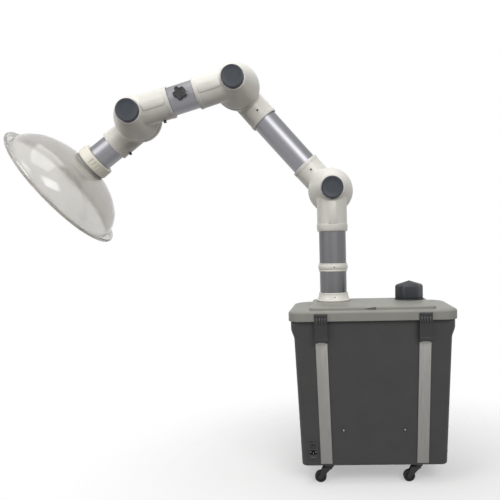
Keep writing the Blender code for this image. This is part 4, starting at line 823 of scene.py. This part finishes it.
def make_tub():
    """The tapered tub with its rounded foot, short side lips, openings and two front screws."""
    levels = []
    straight = TUB_BOTTOM_Z + TUB_EDGE
    width, depth = tub_size(straight)
    for cosine, sine in arc((0, 0), 1, 0, 90, 6):
        end_inset, front_inset = TUB_END_EDGE * (1 - sine), TUB_EDGE * (1 - sine)
        levels.append((width - 2 * end_inset, depth - 2 * front_inset, straight - TUB_EDGE * cosine))
    steps = 8
    for step in range(steps + 1):
        share = step / steps
        z = LIP_LOW_Z - LIP_EASE * (1 - share)
        width, depth = tub_size(z)
        swell = share * share * (3 - 2 * share)
        levels.append((width + (LIP_WIDTH - width) * swell, depth, z))
    depth = tub_size(LIP_SHOULDER_Z)[1]
    z = LIP_SHOULDER_Z - SHOULDER_FALL
    levels += [(LIP_WIDTH, depth, z - LIP_EDGE[1]), (LIP_WIDTH - 2 * LIP_EDGE[0], depth, z)]
    levels += [(NECK_WIDTH, depth, LIP_SHOULDER_Z), (NECK_WIDTH, TUB_TOP[1], TUB_TOP_Z)]
    for z in (TUB_TOP_Z, TUB_BOTTOM_Z + TUB_FLOOR):
        width, depth = tub_size(z)
        levels.append((width - 2 * TUB_WALL, depth - 2 * TUB_WALL, z))
    tub = drawn(levels, TUB_CORNERS, 10)
    pad = drawn([(*PAD, 0.0), (*PAD, TUB_BOTTOM_Z + 0.002)], PAD_CORNER, 6)
    combine(tub, ease(pad, 0.0012, 2), "UNION")
    holes = [put(block(INLET_HOLE, (0, HOLE_IN, 0)), wall_place(INLET_X, INLET_Z, -1))]
    holes.append(put(block(GRILLE_HOLE, (0, HOLE_IN, 0)), grille_place()))
    for x in (-STEM[0], STEM[0]):
        for y in (-STEM[1], STEM[1]):
            holes.append(put(rod(STEM_HOLE[0], 0.0, STEM_HOLE[1]), at(x, y, 0)))
    combine(tub, joined(*holes))
    hand_over(tub, "tub_moulded", "cabinet", CHARCOAL, ["tub"])
    profile = [(0.0048, -0.002), (0.0048, 0.0004), (0.0040, 0.0012), (0.0026, 0.0012), (0.0020, 0.0002)]
    screw = turned(profile, 24)
    head = turned([(0.0023, 0.0), (0.0023, 0.0012), (0.0016, 0.0018), (0.0005, 0.0018)], 20)
    spots = [wall_place(x, SCREW_Z, -1) @ TO_FRONT for x in (-SCREW_X, SCREW_X)]
    screws = joined(*[twin(screw, spot) for spot in spots])
    hand_over(screws, "tub_front_screws", "cabinet", BLACK)
    heads = joined(*[twin(head, spot) for spot in spots])
    hand_over(heads, "tub_front_screw_heads", "cabinet", STEEL)
    discard(screw, head)


def make_lid():
    """The lid with its soft ends, raised panel, finger recess, two ports and four latch slots."""
    inner = [side - 2 * SKIRT_WALL for side in LID]
    foot = [side - 2 * SKIRT_EDGE[0] for side in LID]
    levels = [(*inner, CEILING_Z), (*inner, SKIRT_Z), (*foot, SKIRT_Z), (*LID, SKIRT_Z + SKIRT_EDGE[1])]
    for cosine, sine in arc((0, 0), 1, 0, 90, 12):
        z = RIM_Z - LID_END_ROUND[1] * (1 - sine)
        end_inset = LID_END_ROUND[0] * (1 - cosine)
        rise = max(0.0, z - RIM_Z + LID_FRONT_ROUND)
        front_inset = LID_FRONT_ROUND - math.sqrt(LID_FRONT_ROUND**2 - rise**2)
        levels.append((LID[0] - 2 * end_inset, LID[1] - 2 * front_inset, z))
    lid = drawn(levels, LID_CORNERS, 12)
    width, depth = [side + 2 * PANEL_FOOT for side in PANEL]
    levels = [(width, depth, RIM_Z - 0.003)]
    for cosine, sine in arc((0, 0), 1, 0, 90, 6):
        inset = 2 * PANEL_ROUND * (1 - cosine)
        levels.append((width - inset, depth - inset, LID_TOP_Z - PANEL_ROUND * (1 - sine)))
    combine(lid, drawn(levels, PANEL_CORNER, 8), "UNION")
    tools = []
    for port in (PORT, SPARE_PORT):
        tools.append(put(rod(PORT_RADIUS, -0.040, 0.010, ROUND), Matrix.Translation(port)))
    wedge = rod(0.0100, -0.0024, 0.008, 3)
    spot = at(-0.0015, -PANEL[1] / 2, RIM_Z + 0.0026) @ TO_FRONT @ rotation(90)
    tools.append(put(wedge, spot @ Matrix.Diagonal((0.52, 1.9, 1, 1))))
    for x in (-STRAP_TOP_X, STRAP_TOP_X):
        for y in (-LID[1] / 2, LID[1] / 2):
            tools.append(block(LATCH_SLOT, (x, y, PIN_Z + HOOK_Z)))
    combine(lid, joined(*tools))
    hand_over(lid, "lid_moulded", "cabinet", LID_GREY, ["lid"])


def make_lid_seal():
    """The flat seal between the tub's rim and the lid."""
    low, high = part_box("lid_seal")
    width, depth = high[0] - low[0], high[1] - low[1]
    rim, clear = 0.008, 0.002
    seal = drawn([(width, depth, low[2]), (width, depth, high[2])], TUB_CORNERS, 10)
    inner = [(width - rim, depth - rim, low[2] - clear), (width - rim, depth - rim, high[2] + clear)]
    combine(seal, drawn(inner, TUB_CORNERS, 10))
    hand_over(seal, "lid_seal_flat", "cabinet", SEAL, ["lid_seal"])


def make_straps():
    """Two flat bars, bent under the tub, with the latch pins on their tops."""
    for name, side in (("strap_left", -1), ("strap_right", 1)):
        bend_z = TUB_BOTTOM_Z + TUB_EDGE
        bend_y = tub_size(bend_z)[1] / 2 - TUB_EDGE
        off = STRAP_GAP + STRAP[1] / 2
        top = Vector((side * STRAP_TOP_X, -tub_size(STRAP_TOP_Z)[1] / 2 - off, STRAP_TOP_Z))
        bottom = Vector((side * STRAP_BOTTOM_X, -bend_y - TUB_EDGE - off, bend_z))
        bar = start_sized("plane", (*STRAP, 1), top)
        pull(bottom - top)
        bpy.ops.mesh.spin(steps=8, angle=math.radians(90), center=(0, -bend_y, bend_z), axis=(1, 0, 0))
        pull((0, 2 * bend_y, 0))
        bpy.ops.mesh.spin(steps=8, angle=math.radians(90), center=(0, bend_y, bend_z), axis=(1, 0, 0))
        rise = top - bottom
        pull((rise.x, -rise.y, rise.z))
        close()
        pieces = [ease(bar, 0.0006, 2)]
        for face in (-1, 1):
            neck = (STRAP_NECK[0], STRAP[1], STRAP_NECK[1])
            pieces.append(block(neck, (top.x, -face * top.y, PIN_Z - 0.004), 0.0006, 2))
            spot = at(top.x, face * PIN_Y, PIN_Z) @ TO_RIGHT
            half = LATCH[0] / 2 - 0.0003
            pieces.append(put(rod(PIN_RADIUS, -half, half, 24, 0.0004), spot))
            pieces.append(put(rod(BARREL[0], -BARREL[1] / 2, BARREL[1] / 2, 24, 0.0004), spot))
        hand_over(joined(*pieces), name + "_bar", "cabinet", BAR, [name])


def latch_lever():
    """A latch for the front: a ribbed lever with a sunk face, hinge lugs and a hook; its pin lies along X."""
    width, thick, tall = LATCH
    middle = tall / 2 - LATCH_DROP
    front = LATCH_BACK_Y - thick
    lever = start_sized("cube", LATCH, (0, LATCH_BACK_Y - thick / 2, middle))
    pick_faces(lambda spot, normal: normal.y < -0.5)
    bpy.ops.mesh.inset(thickness=0.0026)
    shift((0, 0.0006, 0))
    close()
    pieces = [ease(lever, 0.0011, 3)]
    lean = rotation(RIB_LEAN, "X")
    for step in range(4):
        rib = block(RIB, (0, 0, 0), 0.0016, 4)
        pieces.append(put(rib, at((step - 1.5) * RIB_PITCH, front + 0.0002, 0.0525) @ lean))
    pieces.append(block((width - 0.004, 0.0022, 0.0065), (0, front + 0.0004, 0.0660), 0.0009, 3))
    pieces.append(block((width + 0.0012, 0.0030, 0.0100), (0, front + 0.0006, 0.0035), 0.0009, 3))
    for side in (-1, 1):
        x = side * LUG_X
        pieces.append(put(rod(0.0050, -0.0016, 0.0016, 24, 0.0005), at(x, 0, 0) @ TO_RIGHT))
        pieces.append(block((0.0032, 0.0090, 0.0068), (x, -0.0050, 0.0014), 0.0006, 2))
        stud = rod(0.0022, -0.001, 0.0018, 20, 0.0005)
        pieces.append(put(stud, at(side * 0.009, front, 0.0035) @ TO_FRONT))
    pieces.append(block((0.027, 0.0060, 0.0030), (0, LATCH_BACK_Y + 0.0014, HOOK_Z), 0.0006, 2))
    return joined(*pieces)


def make_latches():
    """Four latches, those at the rear turned round."""
    lever = latch_lever()
    for row, face in (("front", -1), ("rear", 1)):
        for end, side in (("left", -1), ("right", 1)):
            place = at(side * STRAP_TOP_X, face * PIN_Y, PIN_Z) @ heading(face)
            node, body = f"latch_{row}_{end}", f"latch_lever_{row}_{end}"
            hand_over(twin(lever, place), node + "_lever", body, LATCH_GREY, [node])
    discard(lever)


def caster_fork():
    """A caster fork: stem, race, crown, two tapered legs and the axle."""
    profile = [(0.0040, 0.0087), (0.0040, 0.0014), (0.0125, 0.0014), (0.0125, -0.0012), (0.0118, -0.0020)]
    profile += [(0.0108, -0.0024), (0.0112, -0.0032), (0.0112, -0.0056), (0.0100, -0.0066)]
    pieces = [turned(profile, SMALL_ROUND)]
    pieces.append(block((0.0180, 0.0200, 0.0052), (-0.0030, 0, -0.0086), 0.0016, 3))
    axle = at(-CASTER_TRAIL, 0, -AXLE_DROP) @ TO_FRONT
    wide, narrow, thick, top, middle, proud = 0.0250, 0.0130, 0.0025, -0.0066, -0.0065, 0.0001
    for low in (-0.0100, 0.0075):
        centre = (middle, low + thick / 2, (top - AXLE_DROP) / 2)
        leg = start_sized("cube", (wide, thick, AXLE_DROP + top), centre)
        pick_points(lambda spot: spot.z < 0.001 - AXLE_DROP)
        stretch((narrow / wide, 1, 1), (middle, 0, 0))
        shift((-CASTER_TRAIL - middle, 0, 0))
        close()
        pieces.append(ease(leg, 0.0006, 2))
        pieces.append(put(rod(narrow / 2, -low - thick - proud, proud - low, SMALL_ROUND, 0.0006), axle))
    pieces.append(put(rod(0.0030, -0.0105, 0.0105), axle))
    for end in (-0.0110, 0.0100):
        pieces.append(put(rod(0.0046, end, end + 0.0010, 24, 0.0003), axle))
    return joined(*pieces)


def caster_wheel():
    """A caster wheel about Y with a grooved tread and a sunk hub."""
    half, radius, soft = WHEEL_HALF, WHEEL_RADIUS, 0.0026
    hub, sunk = half - 0.0010, half - 0.0030
    side = [(0.0035, hub), (0.0056, hub), (0.0062, sunk), (0.0100, sunk), (0.0108, half)]
    side += arc((radius - soft, half - soft), soft, 90, 0, 6)
    side += [(radius, 0.0012), (radius - 0.0007, 0.0006)]
    profile = side + [(r, -z) for r, z in reversed(side)] + [side[0]]
    return put(turned(profile, 48), TO_FRONT)


def make_casters():
    """Four casters, each a fork and a wheel."""
    fork, wheel = caster_fork(), caster_wheel()
    for row, y in (("front", -STEM[1]), ("rear", STEM[1])):
        for end, x in (("left", -STEM[0]), ("right", STEM[0])):
            name = f"{row}_{end}"
            node, piece = f"caster_fork_{name}", twin(fork, at(x, y, 0))
            hand_over(piece, node + "_legs", f"caster_{name}", BLACK, [node])
            node, piece = f"caster_wheel_{name}", twin(wheel, at(x - CASTER_TRAIL, y, -AXLE_DROP))
            hand_over(piece, node + "_tyre", f"wheel_{name}", RUBBER, [node])
    discard(fork, wheel)


def make_inlet():
    """The power inlet with its socket, pins and fuse drawer, and the rocker above."""
    place = wall_place(INLET_X, INLET_Z, -1)
    body = drawn([(*INLET, 0.0003), (*INLET, -INLET_FACE)], 0.0020, 4)
    ease(body, 0.0006, 2)
    put(body, TO_FRONT)
    combine(body, block(INLET_BACK, (0, 0.0102, 0)), "UNION")
    socket = drawn([(*SOCKET, 0.0), (*SOCKET, 0.026)], 0.0030, 4)
    tools = [put(socket, at(0, 0.0097, -SOCKET_DROP) @ TO_FRONT)]
    tools.append(block((0.0166, 0.0170, 0.0104), (0, INLET_FACE, ROCKER_RISE)))
    combine(body, joined(*tools))
    drawer = block((0.0150, 0.0012, 0.0052), (0, INLET_FACE - 0.0003, -0.0160), 0.0005, 2)
    body = put(joined(body, drawer), place)
    hand_over(body, "power_inlet_moulded", "cabinet", CHARCOAL, ["power_inlet"])
    pins = []
    for x, z in ((-0.0065, 0.0008), (0.0065, 0.0008), (0.0, -0.0022)):
        pins.append(block(PRONG, (x, 0.0036, z - SOCKET_DROP), 0.0004, 2))
    pins.append(block((0.0120, 0.0006, 0.0007), (0, INLET_FACE - 0.0010, -0.0148), 0.0002, 2))
    hand_over(put(joined(*pins), place), "power_inlet_pins", "cabinet", STEEL)
    rocker = start_sized("cube", ROCKER, (0, 0.0018, 0))
    bpy.ops.mesh.bisect(plane_co=(0, 0, 0), plane_no=(0, 0, 1))
    pick_points(lambda spot: abs(spot.z) < 0.0001 and spot.y < 0)
    shift((0, 0.0013, 0))
    pick_points(lambda spot: abs(spot.z) > 0.004 and spot.y > 0.004)
    stretch((1, 1, 0.55))
    close()
    ease(rocker, 0.0005, 2, 25)
    put(rocker, place @ at(0, INLET_FACE, ROCKER_RISE))
    hand_over(rocker, "rocker_switch_moulded", "rocker", BLACK, ["rocker_switch"])


def make_grille():
    """The exhaust grille at the rear: a raised frame with six slots."""
    front = [side - 0.004 for side in GRILLE]
    plate = drawn([(*GRILLE, 0.0003), (*GRILLE, 0.0028), (*front, 0.0043)], 0.005, 6)
    slots = []
    for step in range(6):
        slot = drawn([(*GRILLE_SLOT, -0.004), (*GRILLE_SLOT, 0.008)], 0.0022, 4)
        slots.append(put(slot, at(0, (step - 2.5) * SLOT_PITCH, 0)))
    combine(plate, joined(*slots))
    ease(plate, 0.0004, 2, 50)
    node, plate = "exhaust_grille", put(plate, grille_place() @ TO_FRONT)
    hand_over(plate, node + "_slotted", "cabinet", BLACK, [node])


def make_cap():
    """The plug in the spare port: six soft flats, chamfered shoulders and a low peak on a thin flange."""
    body = turned([(0.0405, 0.002), (0.0405, 0.0370), (0.0350, 0.0425), (0.0010, 0.0530)], 6)
    put(body, rotation(30))
    ease(body, 0.0052, 4, 45)
    flange = [(0.0405, 0.0003), (0.0410, 0.0008), (0.0410, 0.0030), (0.0400, 0.0037), (0.0300, 0.0037)]
    spigot = [(0.0345, -0.020), (0.0375, -0.020), (0.0375, 0.002), (0.0345, 0.002), (0.0345, -0.020)]
    cap = put(joined(body, turned(flange), turned(spigot)), Matrix.Translation(SPARE_PORT))
    hand_over(cap, "port_cap_moulded", "spare_port_cap", CAP_GREY, ["port_cap"])


make_tubes()
make_elbows()
make_arm_screws()
make_column_trim()
make_damper_knob()
make_hood()
make_tub()
make_lid()
make_lid_seal()
make_straps()
make_latches()
make_casters()
make_inlet()
make_grille()
make_cap()

# Finishes of the solids that stay
PAPER = pleated("pleated filter paper", ("c9c6be", "e2dfd7"), 6)
CARBON = pleated("activated carbon", ("1c1c1c", "2b2b2b"), 4)
KEPT = (
    (SEAL, ("joint_seal_1", "joint_seal_2", "joint_seal_3")),
    (STEEL, ("motor", "blower_chassis", "damper_blade")),
    (CHARCOAL, ("blower_housing",)),
    (BLACK, ("impeller",)),
    (PAPER, ("main_filter", "prefilter")),
    (CARBON, ("carbon_filter",)),
)
for finish, nodes in KEPT:
    for node in nodes:
        mesh = frame["nodes"][node].data
        for index in range(len(mesh.materials)):
            mesh.materials[index] = finish


# Floor, light and camera


def make_floor():
    """A pale floor that keeps the object's shadow and fades out into the white room."""
    bpy.ops.object.select_all(action="DESELECT")
    bpy.ops.mesh.primitive_plane_add(size=4)
    floor = bpy.context.object
    floor.name = "studio_floor"
    floor.data.transform(at(0, 0, cad_box[0][2]))
    sockets = {"Base Color": linear("fafafa"), "Roughness": 0.9}
    material, tree, shader = new_material("pale studio floor", sockets)
    where = add(tree, "TexCoord", {}, {}).outputs["Object"]
    reach = add(tree, "Mapping", {"vector_type": "TEXTURE", "Scale": (0.9, 0.9, 0.9)}, {"Vector": where})
    pool = add(tree, "TexGradient", {"gradient_type": "SPHERICAL"}, {"Vector": reach.outputs["Vector"]})
    ends = {"interpolation_type": "SMOOTHSTEP", "From Min": 0.0, "From Max": 0.75, "To Max": 0.6}
    fade = add(tree, "MapRange", ends, {"Value": pool.outputs["Fac"]})
    tree.links.new(fade.outputs["Result"], shader.inputs["Alpha"])
    floor.data.materials.append(material)


def make_light():
    """A white room that is brighter above than below, and soft lamps."""
    world = bpy.data.worlds.new("studio")
    bpy.context.scene.world = world
    world.use_nodes = True
    tree = world.node_tree
    back = tree.nodes["Background"]
    path = add(tree, "LightPath", {}, {})
    rays = {0: path.outputs["Is Camera Ray"], 1: path.outputs["Is Glossy Ray"]}
    first = add(tree, "Math", {"operation": "MAXIMUM"}, rays)
    rays = {0: first.outputs[0], 1: path.outputs["Is Transmission Ray"]}
    seen = add(tree, "Math", {"operation": "MAXIMUM"}, rays)
    where = add(tree, "TexCoord", {}, {}).outputs["Generated"]
    height = add(tree, "SeparateXYZ", {}, {0: where}).outputs["Z"]
    level = add(tree, "MapRange", {"From Min": -0.35, "From Max": 1.0}, {"Value": height})
    below, above = (0.06, 0.051, 0.045, 1.0), (0.34, 0.34, 0.34, 1.0)
    ends = {"data_type": "RGBA", 6: below, 7: above}
    sky = add(tree, "Mix", ends, {0: level.outputs["Result"]})
    white = {"data_type": "RGBA", 7: linear("ffffff")}
    room = add(tree, "Mix", white, {0: seen.outputs[0], 6: sky.outputs[2]})
    tree.links.new(room.outputs[2], back.inputs["Color"])
    lamps = (
        ("front_softbox", (0.85, -2.3, 2.0), (-0.3, 0.0, 0.5), (1.9, 1.2), 40),
        ("side_softbox", (-2.05, -1.45, 1.8), (-0.6, 0.0, 0.8), (1.7, 1.2), 20),
        ("overhead_softbox", (-0.4, -0.2, 2.6), (-0.4, -0.2, 0.0), (1.3, 1.9), 19),
    )
    for name, spot, goal, size, power in lamps:
        data = bpy.data.lights.new(name, "AREA")
        data.shape = "RECTANGLE"
        data.size, data.size_y = size
        data.energy = power
        lamp = bpy.data.objects.new(name, data)
        bpy.context.scene.collection.objects.link(lamp)
        aim = Vector(goal) - Vector(spot)
        lamp.matrix_world = Matrix.Translation(spot) @ aim.to_track_quat("-Z", "Y").to_matrix().to_4x4()


def make_camera():
    """The photograph's viewpoint: straight on, a little above the lid."""
    yaw, pitch, roll = math.radians(-1.608), math.radians(4.817), math.radians(1.2025)
    eye, focal_px, middle_px, image_px = (-0.0752, -1.5022, 0.5806), 554.27, (327.1, 291.1), 500
    data = bpy.data.cameras.new("photo_camera")
    data.sensor_width = 36.0
    data.lens = focal_px / image_px * data.sensor_width
    data.shift_x = (image_px / 2 - middle_px[0]) / image_px
    data.shift_y = (middle_px[1] - image_px / 2) / image_px
    ahead = Vector((math.sin(yaw) * math.cos(pitch), math.cos(yaw) * math.cos(pitch), -math.sin(pitch)))
    right = Vector((math.cos(yaw), -math.sin(yaw), 0))
    down = ahead.cross(right)
    across = right * math.cos(roll) + down * math.sin(roll)
    below = down * math.cos(roll) - right * math.sin(roll)
    axes = Matrix((across, -below, -ahead)).transposed()
    camera = bpy.data.objects.new("photo_camera", data)
    bpy.context.scene.collection.objects.link(camera)
    camera.matrix_world = at(*eye) @ axes.to_4x4()
    bpy.context.scene.camera = camera


make_floor()
make_light()
make_camera()
bpy.context.scene.view_settings.view_transform = "Standard"
